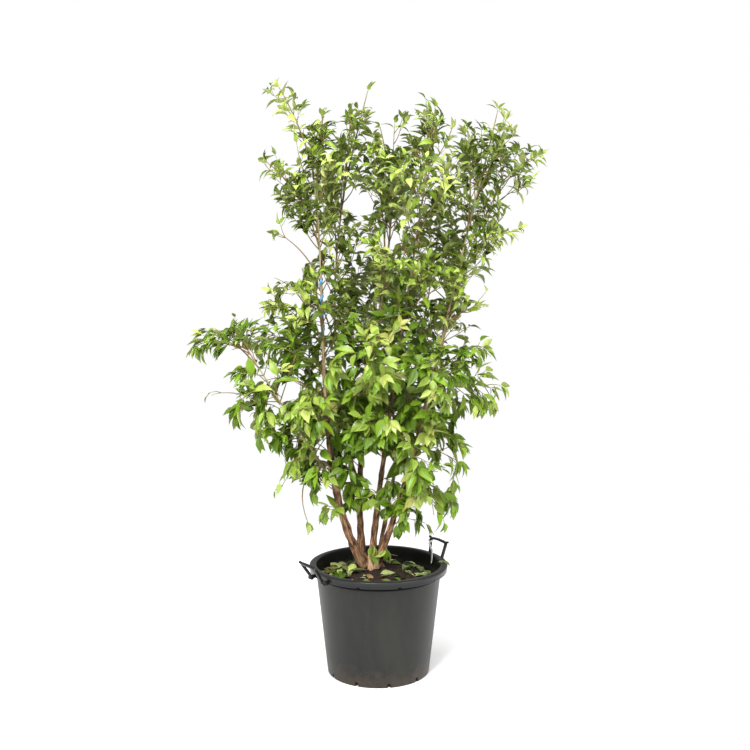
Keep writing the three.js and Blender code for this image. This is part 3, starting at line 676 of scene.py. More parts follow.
class Storey(Enum):
    """The two storeys of the crown: the record's slot for each, and its tints from darkest to palest."""

    HIGH = ("leaf_high", (LeafTint.SHADED, LeafTint.OLIVE, LeafTint.SAGE, LeafTint.PALE, LeafTint.LIME))
    LOW = ("leaf_low", (LeafTint.DEEP, LeafTint.GREEN, LeafTint.BRIGHT, LeafTint.LIME, LeafTint.YELLOWED))


@dataclass(frozen=True)
class Limb:
    """A stem or main bough: a cubic that leaves its foot along spring and comes into its tip along lead."""

    name: str
    foot: Triple
    spring: Triple
    lead: Triple
    tip: Triple
    radii: Pair
    # The foot's swelling, as a share of the radius, the length over which it fades, and the taper's power
    swelling: float = 0.22
    fading: float = 45.0
    taper: float = 1.9

    def curve(self, t: Array) -> Array:
        """Points of the cubic at values of its own parameter.

        Args:
            t: the values.

        Returns:
            The points, one row each.
        """
        first, last = np.array(self.foot), np.array(self.tip)
        second, third = first + self.spring, last - self.lead
        t = t[:, None]
        s = 1 - t
        return s**3 * first + 3 * s**2 * t * second + 3 * s * t**2 * third + t**3 * last

    def run(self) -> tuple[Array, Array]:
        """Values of the parameter, and the length of the curve up to each."""
        t = np.linspace(0, 1, 401)
        return t, run_length(self.curve(t))

    def length(self) -> float:
        """The limb's length along its curve."""
        return float(self.run()[1][-1])

    def at(self, share: Array) -> Array:
        """Points at shares of the limb's length."""
        t, run = self.run()
        return self.curve(np.interp(share * run[-1], run, t))

    def radius(self, share: Array) -> Array:
        """The radius at shares of the length: a taper towards the tip, with a swelling at the foot.

        Args:
            share: the shares.

        Returns:
            The radii.
        """
        thick, thin = self.radii
        swell = self.swelling * np.exp(-share * self.length() / self.fading)
        return (thin + (thick - thin) * (1 - share) ** self.taper) * (1 - 0.25 * share) * (1 + swell)


LIMBS = [
    Limb("stem_left", (-45, 5, 378), (-204, -119, 350), (-70, 0, 514), (-232, -20, 1821), (18, 4)),
    Limb("stem_centre", (-27, 10, 390), (51, 19, 500), (85, 18, 581), (174, -48, 1852), (14, 4)),
    Limb("stem_right", (-8, -3, 390), (162, -113, 439), (142, 1, 543), (361, -10, 1787), (14, 4)),
    Limb("stem_back", (-57, 25, 388), (-56, 88, 553), (-5, -26, 525), (52, 100, 1849), (15, 4)),
    Limb("stem_thin", (-4, 24, 388), (65, 54, 359), (64, 15, 473), (229, 175, 1657), (9, 3.5)),
    Limb("stem_fork", (-73, 62, 655), (-83, -19, 300), (90, -31, 434), (-110, 120, 1808), (9, 3.5)),
    Limb("stem_twin", (217, -42, 1178), (42, 41, 153), (122, 16, 212), (446, 65, 1775), (6, 3.5)),
    Limb("bough_left", (-141, -52, 671), (-78, -40, 141), (-145, 22, 240), (-448, -135, 1185), (7, 2.4)),
    Limb(
        "bough_left_arm", (-310, -128, 952), (-97, -25, -32), (-139, -12, 58), (-473, -170, 1038), (3.8, 2.2)
    ),
    Limb("bough_left_low", (-147, -55, 744), (-64, -31, 56), (-70, -60, -48), (-312, -160, 779), (4.8, 2.4)),
    Limb("bough_left_inner", (-168, -55, 888), (-122, 73, 231), (-40, 32, 264), (-263, 40, 1332), (6, 3.5)),
]

# Each mass of foliage: the limb it grows from, how far up that limb, its furthest tip and its girth radius
MASSES = [
    ("crown_left_spike", "stem_left", 1, (-365, -20, 2135), 85),
    ("crown_left_peak", "stem_left", 0.9, (-190, 50, 2050), 88),
    ("crown_left_shoulder", "stem_left", 0.84, (-410, -110, 1865), 95),
    ("crown_left_side", "stem_left", 0.72, (-370, -110, 1620), 115),
    ("crown_mid_spike", "stem_fork", 1, (-25, 100, 2145), 80),
    ("crown_mid_front", "stem_fork", 0.85, (-130, -90, 1815), 115),
    ("crown_mid_back", "stem_fork", 0.74, (-210, 320, 1850), 135),
    ("crown_back_peak", "stem_back", 1, (60, 100, 2030), 88),
    ("crown_back_rear", "stem_back", 0.8, (50, 360, 1835), 130),
    ("crown_centre_peak", "stem_centre", 1, (200, -60, 2065), 92),
    ("crown_centre_front", "stem_centre", 0.86, (65, -210, 1820), 120),
    ("crown_centre_right", "stem_centre", 0.8, (285, -200, 1805), 125),
    ("crown_right_peak", "stem_right", 1, (425, -10, 2060), 88),
    ("crown_right_inner", "stem_right", 0.86, (315, 90, 2010), 90),
    ("crown_right_tip", "stem_twin", 1, (605, 60, 1890), 75),
    ("crown_right_side", "stem_twin", 0.6, (500, -60, 1600), 115),
    ("crown_thin_top", "stem_thin", 1, (345, 290, 1905), 120),
    ("mid_left_front", "stem_left", 0.58, (-225, -200, 1485), 130),
    ("mid_front", "stem_centre", 0.66, (-20, -220, 1560), 130),
    ("mid_right_front", "stem_centre", 0.58, (205, -210, 1445), 140),
    ("mid_left_back", "stem_fork", 0.45, (-295, 260, 1475), 145),
    ("mid_back", "stem_back", 0.52, (25, 360, 1490), 145),
    ("mid_right_back", "stem_thin", 0.62, (370, 330, 1475), 140),
    ("mid_right_side", "stem_right", 0.62, (380, -50, 1355), 115),
    ("left_inner_top", "bough_left_inner", 1, (-415, 50, 1465), 105),
    ("left_arm_top", "bough_left", 0.88, (-610, -90, 1295), 60),
    ("left_arm_tip", "bough_left", 1, (-680, -150, 1210), 60),
    ("left_arm_mid", "bough_left_inner", 0.55, (-445, 60, 1260), 100),
    ("left_low_tip", "bough_left_arm", 1, (-635, -180, 1030), 60),
    ("left_low", "bough_left_arm", 0.5, (-460, -170, 880), 100),
    ("left_droop", "bough_left_low", 1, (-370, -190, 675), 100),
    ("left_base", "bough_left_low", 0.35, (-265, -110, 515), 95),
    ("lap_left", "stem_left", 0.4, (-265, -210, 1075), 140),
    ("lap_front", "stem_centre", 0.34, (-55, -220, 940), 150),
    ("lap_front_top", "stem_centre", 0.46, (-70, -220, 1225), 150),
    ("lap_right", "stem_right", 0.46, (175, -220, 1160), 150),
    ("lap_right_low", "stem_right", 0.26, (135, -210, 850), 130),
    ("right_out", "stem_right", 0.44, (460, -30, 1055), 110),
    ("right_low_front", "stem_right", 0.24, (230, -170, 565), 120),
    ("right_low_side", "stem_right", 0.3, (340, -40, 765), 105),
    ("back_low_left", "stem_fork", 0.2, (-300, 260, 960), 140),
    ("back_low_mid", "stem_back", 0.28, (-55, 330, 950), 150),
    ("back_low_right", "stem_thin", 0.34, (275, 300, 995), 140),
]

# Boughs that fill out the crown between the masses: the limb, how far up it, the tip and the girth radius
FILLERS = [
    ("stem_left", 0.88, (-195, 40, 2040), 60), ("stem_fork", 0.9, (-93, 10, 2046), 62),
    ("stem_back", 0.88, (-2, 30, 2008), 60), ("stem_back", 0.72, (-26, -40, 1921), 85),
    ("stem_centre", 0.9, (181, 50, 1993), 62), ("stem_right", 0.92, (469, 40, 1982), 72),
    ("stem_twin", 0.8, (555, 30, 1780), 75), ("stem_twin", 0.45, (460, -60, 1681), 85),
    ("bough_left_inner", 0.8, (-398, 0, 1366), 80), ("stem_right", 0.62, (352, -70, 1348), 45),
    ("stem_right", 0.5, (413, -70, 1222), 55), ("stem_right", 0.5, (301, -120, 1177), 75),
    ("bough_left_inner", 0.35, (-468, -40, 1078), 70), ("bough_left_inner", 0.3, (-318, -60, 1088), 75),
    ("bough_left", 0.55, (-452, -60, 1017), 70), ("bough_left", 0.92, (-446, -80, 1299), 72),
    ("bough_left", 0.77, (-514, -110, 1159), 62), ("bough_left_inner", 0.45, (-310, -60, 1221), 75),
    ("stem_right", 0.5, (177, -130, 1226), 75), ("stem_right", 0.32, (243, -90, 950), 78),
    ("stem_left", 0.31, (-317, -90, 879), 78), ("stem_left", 0.26, (-311, -90, 801), 72),
    ("stem_twin", 0.15, (250, -40, 1437), 75), ("stem_twin", 0.64, (385, 20, 1717), 72),
    ("stem_twin", 0.04, (338, 0, 1309), 66), ("stem_twin", 0.26, (290, -60, 1486), 66),
    ("stem_right", 0.12, (103, -110, 677), 66), ("stem_right", 0.19, (181, -90, 759), 74),
    ("stem_right", 0.23, (218, -60, 803), 74), ("stem_left", 0.21, (-293, -60, 738), 70),
    ("bough_left_inner", 0.89, (-373, -40, 1360), 72), ("bough_left", 0.95, (-539, -60, 1312), 58),
    ("stem_fork", 0.6, (-156, -30, 1444), 70), ("stem_fork", 0.7, (-100, -20, 1590), 70),
    ("stem_left", 0.8, (-308, -20, 1776), 75), ("stem_twin", 0.3, (313, -20, 1514), 75),
    ("stem_right", 0.38, (252, -60, 875), 80), ("stem_left", 0.22, (-291, -80, 742), 80),
    ("stem_left", 0.13, (-169, -130, 671), 88), ("stem_right", 0.14, (103, -130, 674), 80),
    ("stem_right", 0.11, (181, -110, 599), 74), ("stem_back", 0.15, (-92, -90, 668), 62),
    ("stem_back", 0.17, (-112, -80, 735), 62), ("stem_centre", 0.2, (58, -100, 742), 50),
    ("stem_centre", 0.17, (-36, -140, 668), 48), ("stem_right", 0.18, (68, -150, 690), 55),
    ("stem_right", 0.13, (112, -140, 606), 72), ("stem_right", 0.16, (168, -120, 612), 76),
    ("stem_right", 0.22, (311, -60, 634), 75), ("stem_right", 0.04, (62, -85, 492), 78),
    ("stem_centre", 0.04, (-12, -88, 500), 72), ("stem_back", 0.95, (33, 10, 1903), 60),
    ("stem_centre", 0.96, (124, 20, 1924), 60), ("stem_twin", 0.12, (235, -50, 1409), 70),
    ("stem_twin", 0.16, (324, 10, 1415), 64), ("stem_left", 0.69, (-360, -30, 1367), 70),
    ("stem_twin", 0.97, (425, 20, 1910), 58), ("bough_left_arm", 0.36, (-503, -60, 939), 62),
    ("bough_left_inner", 0.45, (-373, -70, 1138), 66), ("bough_left", 0.32, (-366, -90, 929), 70),
    ("stem_left", 0.26, (-319, -80, 721), 62), ("bough_left", 0.62, (-428, -165, 1092), 52),
    ("bough_left", 0.97, (-648, -120, 1216), 50), ("stem_left", 0.82, (-292, -70, 1652), 60),
    ("stem_left", 0.86, (-345, -60, 1700), 56),
]

# Where sky shows through the crown: x and z of the middle in the upright plane of the pot, and half the size
OPENINGS = np.array(
    [
        (-283, 1527, 79, 50), (-340, 1450, 75, 34), (336, 1395, 32, 38), (203, 1376, 36, 22),
        (395, 1292, 45, 30), (-312, 1027, 36, 32), (-297, 652, 60, 34), (186, 575, 32, 32),
        (29, 2000, 32, 26), (-40, 1698, 30, 26), (-309, 1874, 30, 26), (-197, 1393, 22, 46),
        (-197, 1270, 22, 34), (-383, 777, 26, 20), (-26, 777, 24, 20), (8, 746, 42, 32),
        (-78, 750, 20, 30), (221, 711, 34, 24), (-272, 579, 61, 32), (114, 557, 21, 28),
        (-465, 846, 32, 32), (-529, 1134, 36, 32), (-306, 1350, 38, 20), (40, 1562, 28, 32),
        (461, 1628, 32, 32), (240, 2031, 32, 36), (-258, 2085, 32, 32), (-36, 2051, 28, 28),
        (387, 1990, 28, 28), (39, 1915, 28, 25), (-110, 1708, 28, 25), (453, 1712, 32, 28),
        (317, 1288, 32, 25), (260, 1217, 30, 22), (342, 1224, 30, 22), (-401, 1073, 28, 25),
        (-467, 929, 28, 25), (152, 786, 20, 16), (242, 790, 24, 18), (-472, 1145, 28, 25),
        (-406, 703, 20, 24), (-596, 992, 22, 20), (-580, 1262, 62, 15), (-121, 501, 32, 32),
        (34, 520, 28, 32),
    ]
)


@dataclass
class Wood:
    """The stems and boughs, each a tube with the relief of its bark."""

    ring_step: float = 4.0
    thick_sides: int = 32
    thin_sides: int = 20
    thick_from: float = 7.0
    plate_width: float = 13.0
    plate_stretch: float = 0.2
    relief: float = 0.13
    lump_length: float = 46.0
    lump: float = 0.09

    def limb(self, limb: Limb, seed: int, finish: Material) -> None:
        """Builds one limb. Its radius is the limb's own times 1 + relief, which is folded noise for clefts.

        Args:
            limb: the stem or bough.
            seed: which relief it has.
            finish: the bark.
        """
        sides = self.thick_sides if limb.radii[0] > self.thick_from else self.thin_sides
        share = np.linspace(0, 1, int(limb.length() / self.ring_step))
        radius = limb.radius(share)[:, None]
        flat = circling(radius, ring_angles(sides), share[:, None] * limb.length() * self.plate_stretch)
        clefts = 0.45 - np.abs(ripple(flat, self.plate_width, seed))
        knots = ripple(flat * (1, 1, 1 / self.plate_stretch), self.lump_length, seed + 1)
        radii = radius * (1 + self.relief * clefts + self.lump * knots)
        surface = Surface()
        pattern = tube(surface, limb.at(share)[None], radii[None], SIDEWAYS)
        surface.piece(limb.name + "_bark", [finish], "bark", (limb.name,), places={"grain": pattern * MM})

    def build(self, finish: Material) -> None:
        """Builds every limb, each with a relief of its own."""
        for k, limb in enumerate(LIMBS):
            self.limb(limb, 500 + 10 * k, finish)


@dataclass
class Stool:
    """The woody foot that the stems rise from, with the stubs of two cut stems."""

    centre: Pair = (-27.0, 20.0)
    foot_level: float = 366.0
    rise: float = 58.0
    foot_radii: Pair = (58.0, 50.0)
    top_radius: float = 26.0
    flare: float = 1.6
    relief: float = 2.4
    rows: int = 30
    columns: int = 96
    # Each stub's foot, its tip and its radii at both
    stubs: tuple[tuple[Triple, Triple, Pair], ...] = (
        ((-27, -26, 376), (-27, -36, 446), (13, 9.5)),
        ((-8, -22, 376), (-7, -36, 432), (11, 8.5)),
    )
    # The rings of a stub's sawn face: how far above its tip, and their radii as shares of the tip's
    cut_rises: tuple[float, ...] = (0.0, 0.7, 0.9)
    cut_shares: tuple[float, ...] = (0.9, 0.88, 0.6)

    def dome(self, surface: Surface) -> Array:
        """Adds the dome: radius = top + (foot - top)(1 - level)^1.6, lobed and rough, drawn in to its top.

        Args:
            surface: what it is added to.

        Returns:
            The pattern's place for each corner.
        """
        level = np.linspace(0, 1, self.rows)[:, None]
        turn = ring_angles(self.columns)
        flare = (1 - level) ** self.flare
        lobes = 1 + 0.09 * np.cos(5 * turn + 0.6) + 0.04 * np.cos(9 * turn + 2 * level)
        cap = np.sqrt(np.clip(1 - level**6, 0.02, 1))
        core = self.top_radius
        wide, deep = ((core + (foot - core) * flare) * lobes * cap for foot in self.foot_radii)
        x = self.centre[0] + wide * np.cos(turn)
        y = self.centre[1] + deep * np.sin(turn)
        places = np.stack([x, y, self.foot_level + self.rise * level + 0 * x], axis=-1)
        middle = np.array([*self.centre, self.foot_level + 0.4 * self.rise])
        rough = 0.6 - np.abs(ripple(places * (1, 1, 0.35), 14, 71)) + 0.5 * ripple(places, 30, 72)
        places = places + unit(places - middle) * self.relief * rough[..., None]
        ends = np.array([[*self.centre, self.foot_level], [*self.centre, self.foot_level + self.rise]])
        surface.add_rings(places[None], ends[None])
        return surface.points[-1] - middle

    def build(self, bark: Material, peeled: Material, cut: Material) -> None:
        """Builds the stool and its stubs, and the sawn faces of the stubs.

        Args:
            bark: the finish of the stool.
            peeled: the finish of the stubs' sides.
            cut: the finish of the sawn faces.
        """
        stool, sides, cuts = Surface(), Surface(), Surface()
        grain, rings, dome = [], [], self.dome(stool)
        share, turn = np.linspace(0, 1, 16)[:, None], ring_angles(24)
        for k, (foot, tip, radii) in enumerate(self.stubs):
            line = np.array(foot) + (np.array(tip) - foot) * share
            rough = ripple(circling(9 + 0 * share, turn, 12 * share), 9, 80 + k)
            radius = mixed(*radii, share) * (1 + 0.06 * rough)
            grain.append(tube(sides, line[None], radius[None], SIDEWAYS))
            disc = np.array(tip) + unit(np.array(tip, float) - foot) * np.array(self.cut_rises)[:, None]
            rings.append(tube(cuts, disc[None], np.outer(self.cut_shares, radius[-1])[None], SIDEWAYS))
        stool.piece("stool_bark", [bark], "bark", ("stool",), places={"grain": dome * MM})
        sides.piece("stub_bark", [peeled], "bark", ("stool",), places={"grain": np.concatenate(grain) * MM})
        cuts.piece("stub_cuts", [cut], "bark", ("stool",), places={"grain": np.concatenate(rings) * MM})


class Rows:
    """Arrays of one length, a row in each for one shoot or leaf."""

    def kept(self, keep: Array) -> "Rows":
        """Only the rows that are kept."""
        return type(self)(*(values[keep] for values in vars(self).values()))


@dataclass
class Shoots(Rows):
    """Shoots of one order, each a quadratic curve, with its radii, its mass, its tint and its roll."""

    start: Array
    middle: Array
    end: Array
    radii: Array
    mass: Array
    tint: Array
    roll: Array

    def place(self, owner: Array, share: Array) -> Array:
        """Points on the owners' curves: (1-t)^2 start + 2t(1-t) middle + t^2 end.

        Args:
            owner: the number of each point's shoot.
            share: how far along that it lies.

        Returns:
            The points.
        """
        t = share[:, None]
        first, second, third = self.start[owner], self.middle[owner], self.end[owner]
        return (1 - t) ** 2 * first + 2 * t * (1 - t) * second + t**2 * third

    def heading(self, owner: Array, share: Array) -> Array:
        """Unit tangents of the owners' curves.

        Args:
            owner: the number of each tangent's shoot.
            share: how far along that it is taken.

        Returns:
            The tangents.
        """
        t = share[:, None]
        start, middle, end = self.start[owner], self.middle[owner], self.end[owner]
        return unit((1 - t) * (middle - start) + t * (end - middle))

    def lengths(self) -> Array:
        """The lengths of the shoots, near enough, as the mean of chord and control lines.

        Returns:
            The lengths.
        """
        lines = (self.end - self.start, self.middle - self.start, self.end - self.middle)
        chord, first, second = (np.linalg.norm(line, axis=1) for line in lines)
        return (chord + (first + second)) / 2


@dataclass
class Leaves(Rows):
    """Leaves as arrays: where each is rooted, how it lies, and its size, bend, mass and tint."""

    root: Array
    along: Array
    above: Array
    length: Array
    half: Array
    bend: Array
    fold: Array
    mass: Array
    tint: Array

    def midrib(self, share: Array) -> Array:
        """Points on each leaf's midrib, an arc that bends down by the leaf's own angle.

        Args:
            share: where along the leaf, k values.

        Returns:
            The points as (leaves, k, 3).
        """
        turn = self.bend[:, None] * share
        onward = (np.sin(turn) / self.bend[:, None] * self.length[:, None])[..., None]
        down = ((1 - np.cos(turn)) / self.bend[:, None] * self.length[:, None])[..., None]
        return self.root[:, None] + onward * self.along[:, None] - down * self.above[:, None]


def all_leaves(groups: list[Leaves]) -> Leaves:
    """Several groups of leaves as one."""
    return Leaves(*(np.concatenate(values) for values in zip(*(vars(group).values() for group in groups))))


@dataclass(frozen=True)
class Blade:
    """A leaf's outline: a short stalk, an elliptic blade and a drawn-out tip, in forty faces."""

    stations: tuple[float, ...] = (0.08, 0.24, 0.45, 0.68, 0.87)
    widths: tuple[float, ...] = (0.06, 0.74, 1.0, 0.66, 0.24)
    thick: float = 0.9

    def corners(self, leaves: Leaves) -> Array:
        """Works out closed thin leaves. Rims stand out by half the width and are lifted by the fold.

        Args:
            leaves: the leaves.

        Returns:
            For each leaf the left rim, midrib, right rim and underside at each station, then root and tip.
        """
        share, widths = np.array(self.stations), np.array(self.widths)
        turn = leaves.bend[:, None] * share
        rib = leaves.midrib(share)
        upright, onward = np.cos(turn)[..., None], np.sin(turn)[..., None]
        above = upright * leaves.above[:, None] + onward * leaves.along[:, None]
        across = np.cross(leaves.along, leaves.above)[:, None]
        wide = (leaves.half[:, None] * widths)[..., None]
        lift = np.sin(leaves.fold)[:, None, None] * wide * above
        out = np.cos(leaves.fold)[:, None, None] * wide * across
        under = rib - above * (self.thick * np.sqrt(widths)[:, None])
        grid = np.stack([rib - out + lift, rib, rib + out + lift, under], axis=2)
        return np.concatenate([grid.reshape(len(grid), -1, 3), leaves.midrib(np.array([0.0, 1.0]))], axis=1)

    def faces(self) -> tuple[Array, Array]:
        """One leaf's faces of four corners, and those of three, each with the upper side first.

        Returns:
            The faces of four corners and the faces of three.
        """
        rows = len(self.stations)
        left, mid, right, low = (4 * np.arange(rows) + k for k in range(4))
        root, tip = 4 * rows, 4 * rows + 1
        upper, lower = [(left, mid), (mid, right)], [(low, left), (right, low)]
        quads = [np.stack([a[:-1], b[:-1], b[1:], a[1:]], axis=-1) for a, b in upper + lower]
        triangles = []
        for side in (upper, lower):
            triangles += [[root, b[0], a[0]] for a, b in side] + [[a[-1], b[-1], tip] for a, b in side]
        return np.concatenate(quads), np.array(triangles)

    def piece(self, name: str, leaves: Leaves, tint: LeafTint, slot: str, nodes: tuple[str, ...]) -> None:
        """Makes leaves of one tint a piece, creased along their rims.

        Args:
            name: the piece's name.
            leaves: the leaves.
            tint: their tint.
            slot: the record's slot.
            nodes: the masses that they stand for.
        """
        count, rows = len(leaves.root), len(self.stations)
        quads, triangles = self.faces()
        surface = Surface()
        surface.add(self.corners(leaves), quads, triangles)
        beside = np.append(np.tile([-1.0, 0.0, 1.0, 0.0], rows), [0, 0])
        onward = np.append(np.repeat(self.stations, 4), [0, 1])
        blade = np.tile(np.stack([beside, onward, 0 * onward], axis=-1), (count, 1))
        mesh = surface.piece(name, tint.finishes(), slot, nodes, places={"blade": blade}).data
        under = [np.tile(np.repeat([0, 1], half), count) for half in (len(quads) // 2, len(triangles) // 2)]
        mesh.polygons.foreach_set("material_index", np.concatenate(under).astype(np.int32))
        ends = np.zeros(2 * len(mesh.edges), np.int32)
        mesh.edges.foreach_get("vertices", ends)
        rim = np.tile(np.append(np.tile([True, False], 2 * rows), [True, True]), count)
        sharp = mesh.attributes.new("sharp_edge", "BOOLEAN", "EDGE")
        sharp.data.foreach_set("value", rim[ends].reshape(-1, 2).all(axis=1))


@dataclass(frozen=True)
class ShootRule:
    """How side shoots or leaf pairs stand along the shoots that bear them."""

    spacing: float
    shares: Pair
    angles: Pair
    lengths: Pair
    borne: float = 1.0


@dataclass
class Crown:
    """Foliage: boughs along the masses' lines, sprouts from the limbs, finer shoots and pairs of leaves."""

    bough_radii: Pair = (3.6, 1.5)
    sprout_radii: Pair = (2.2, 1.0)
    shoot_radii: Pair = (1.7, 0.9)
    fine_radii: Pair = (1.0, 0.7)
    sprout_lengths: Pair = (100.0, 260.0)
    sprouts_above: float = 700.0
    cloak: float = 125.0
    bare_from: float = 0.88
    # A mass's spindle along its line: where it is widest, and how far it reaches to both sides of that
    widest: float = 0.56
    half_span: float = 0.62
    # How low leaves hang outside the pot's rim and inside it
    lowest: float = 478.0
    lowest_inside: float = 404.0
    inside: float = 190.0
    # From here down shoots and leaves turn more and more downwards
    tilt_below: float = 1500.0
    tilt_span: float = 500.0
    droops: Pair = (0.08, 0.5)
    leaf_lengths: Pair = (65.0, 82.0)
    leaf_slims: Pair = (0.18, 0.225)
    trims: tuple[float, ...] = (1.0, 0.8, 0.62, 0.45)
    tint_steps: tuple[float, ...] = (0.36, 0.62, 0.98, 1.35)
    shaded_depth: float = 170.0
    # Where the storeys part, and what makes a mass a slender top: its girth and its tip's height
    storeys_part: float = 1300.0
    slender_girth: float = 100.0
    slender_from: float = 1850.0
    heart: float = 0.62
    # A bough: how long a mass gives it its full girth, how it bends, and how it ends short of the last leaves
    full_reach: float = 330.0
    bough_bend: float = 0.45
    short_of_tip: float = 0.8
    # How shoots turn up high in the crown and down low in it, and how clear of wood they stay
    lifts: Pair = (0.5, -0.25)
    clearances: Pair = (4.0, 3.0)
    # How strongly a leaf faces up, along its shoot, out of the crown and any other way
    facing: tuple[float, ...] = (0.75, 0.35, 0.5, 0.5)
    # Degrees that a leaf bends by, high in the crown and low in it, and is folded by
    bends: tuple[Pair, ...] = ((30, 100), (12, 55))
    folds: Pair = (4, 34)
    mark_step: float = 9.0
    # How many points are measured against the wood at once, which keeps the arrays small
    at_once: int = 2000
    # Sprouts from the limbs: their spacing, their angles and their lengths' shares, low and high on a limb
    sprout_step: float = 48.0
    sprout_angles: Pair = (66.0, 40.0)
    sprout_shares: Pair = (1.1, 0.7)
    shortest: float = 16.0
    # The room that a shoot leaves for its last leaf, in leaf lengths
    leaf_room: float = 0.45
    # How much wider than a mass's girth shoots and leaves may stand
    shoot_slack: float = 1.06
    leaf_slack: float = 1.12
    # How side shoots stand on boughs, and how finer ones stand on sprouts and side shoots
    sides: ShootRule = ShootRule(37, (0.9, 0.1), (62, 38), (0.6, 1.1), 0.85)
    finer: ShootRule = ShootRule(31, (0.85, 0.3), (58, 42), (0.3, 0.6), 0.56)
    # How leaves stand on each order of shoots, and how many of the order's shoots end in a pair
    bearing: tuple[ShootRule, ...] = (
        ShootRule(34, (0.99, 0.3), (60, 40), (0.85, 1.1), 0.95),
        ShootRule(30, (0.98, 0.25), (62, 34), (0.75, 1.15), 0.9),
        ShootRule(28, (0.98, 0.22), (62, 34), (0.75, 1.15), 0.9),
        ShootRule(24, (0.98, 0.35), (62, 34), (0.6, 1.0), 0.9),
        ShootRule(24, (0.98, 0.35), (62, 34), (0.6, 1.0), 0.9),
    )
    ending: tuple[float, ...] = (1.0, 0.75, 0.75, 0.75, 0.75)
    # Each order's sides of a tube and places along it
    twig_grids: tuple[tuple[int, int], ...] = ((8, 10), (6, 6), (5, 5), (4, 4), (4, 4))
    seed: int = 101

    def __post_init__(self) -> None:
        """Works out each mass's line from the limb it grows from."""
        limbs = {limb.name: limb for limb in LIMBS}
        self.random = np.random.default_rng(self.seed)
        rows = [row[1:] for row in MASSES] + FILLERS
        ends = [limbs[limb].at(np.array([at, at - 0.01])) for limb, at, _, _ in rows]
        self.root = np.array([pair[0] for pair in ends])
        self.limb_way = unit(np.array([pair[0] - pair[1] for pair in ends]))
        self.tip = np.array([row[2] for row in rows], float)
        self.girth = np.array([row[3] for row in rows], float)
        self.span = self.tip - self.root
        self.reach = np.linalg.norm(self.span, axis=1)
        self.hearts = self.root + self.heart * self.span
        self.low = np.clip((self.tilt_below - self.hearts[:, 2]) / self.tilt_span, 0, 1)
        self.storey = np.where(self.tip[:, 2] > self.storeys_part, 0, 1)
        self.slender = (self.girth < self.slender_girth) & (self.tip[:, 2] > self.slender_from)
        self.leaf = mixed(*self.leaf_lengths, self.low)
        marks = [limb.at(np.linspace(0, 1, int(limb.length() / self.mark_step))) for limb in LIMBS]
        radii = [limb.radius(np.linspace(0, 1, len(line))) for limb, line in zip(LIMBS, marks)]
        self.wood = np.concatenate(marks)
        self.wood_radius = np.concatenate(radii)

    def shape(self, points: Array, mass: Array) -> tuple[Array, Array, Array]:
        """Where points are in their masses: the share along, the distance aside and the girth there.

        Args:
            points: the points.
            mass: the number of each point's mass.

        Returns:
            The shares, the distances aside, and girth times sqrt(1 - ((s - widest) / half)^2).
        """
        offset, span = points - self.root[mass], self.span[mass]
        along = (offset * span).sum(axis=-1) / self.reach[mass] ** 2
        aside = np.linalg.norm(offset - along[..., None] * span, axis=-1)
        bulge = 1 - ((along - self.widest) / self.half_span) ** 2
        return along, aside, self.girth[mass] * np.sqrt(np.clip(bulge, 0, None))

    def held(self, points: Array, slack: float = 1.0) -> Array:
        """True for each point in the crown: in any mass's spindle, or close about the limbs in leaf.

        Args:
            points: the points.
            slack: how much wider than a mass's girth is still inside.

        Returns:
            Whether each is inside, above the lowest leaf.
        """
        inside = np.zeros(len(points), bool)
        for mass in range(len(self.girth)):
            along, aside, room = self.shape(points, np.full(len(points), mass))
            inside |= (along <= 1.0) & (aside <= room * slack)
        leafy = self.wood[self.wood[:, 2] > self.sprouts_above]
        near = self.gap(points, leafy) < self.cloak
        over_pot = np.linalg.norm(points[:, :2], axis=1) < self.inside
        floor = np.where(over_pot, self.lowest_inside, self.lowest)
        return (inside | near) & (points[:, 2] >= floor)

    def opened(self, points: Array) -> Array:
        """True for each point that would hide an opening, seen from where the photo was taken.

        Args:
            points: the points.

        Returns:
            Whether each hides an opening.
        """
        eye = np.array(CAMERA_PLACE) / MM
        ray = points - eye
        seen = eye + ray * (eye[1] / -ray[..., 1:2])
        offset = (seen[..., None, [0, 2]] - OPENINGS[:, :2]) / OPENINGS[:, 2:]
        return ((offset**2).sum(axis=-1) < 1).any(axis=-1)

    def gap(self, points: Array, marks: Array, radii: Array | float = 0.0) -> Array:
        """The distance from each point to the nearest of some marks, less the marks' radii.

        Args:
            points: the points.
            marks: the marks.
            radii: the marks' radii.

        Returns:
            The distances.
        """
        found = np.zeros(len(points))
        for low in range(0, len(points), self.at_once):
            part = slice(low, low + self.at_once)
            found[part] = (np.linalg.norm(points[part, None] - marks, axis=2) - radii).min(axis=1)
        return found

    def clear_of_wood(self, points: Array, margin: float) -> Array:
        """True for each point that lies outside every limb by a margin."""
        return self.gap(points, self.wood, self.wood_radius) > margin

    def boughs(self) -> Shoots:
        """One bough for each mass: it leaves the limb's own way and bends to the mass's tip.

        Returns:
            The boughs.
        """
        count = len(self.girth)
        forward = unit(self.span)
        lead = unit(mixed(forward, self.limb_way, self.bough_bend))
        end = self.tip - forward * self.leaf[:, None] * self.short_of_tip
        middle = self.root + lead * (self.bough_bend * self.reach)[:, None]
        radii = np.array(self.bough_radii) * np.clip(self.reach / self.full_reach, 0.45, 1)[:, None]
        tint = np.where(self.random.random(count) < 0.5, 1, 2)
        return Shoots(self.root, middle, end, radii, np.arange(count), tint, self.turns(count))

    def turns(self, count: int) -> Array:
        """Turns at random, one for each of a count."""
        return self.random.uniform(0, FULL_TURN, count)

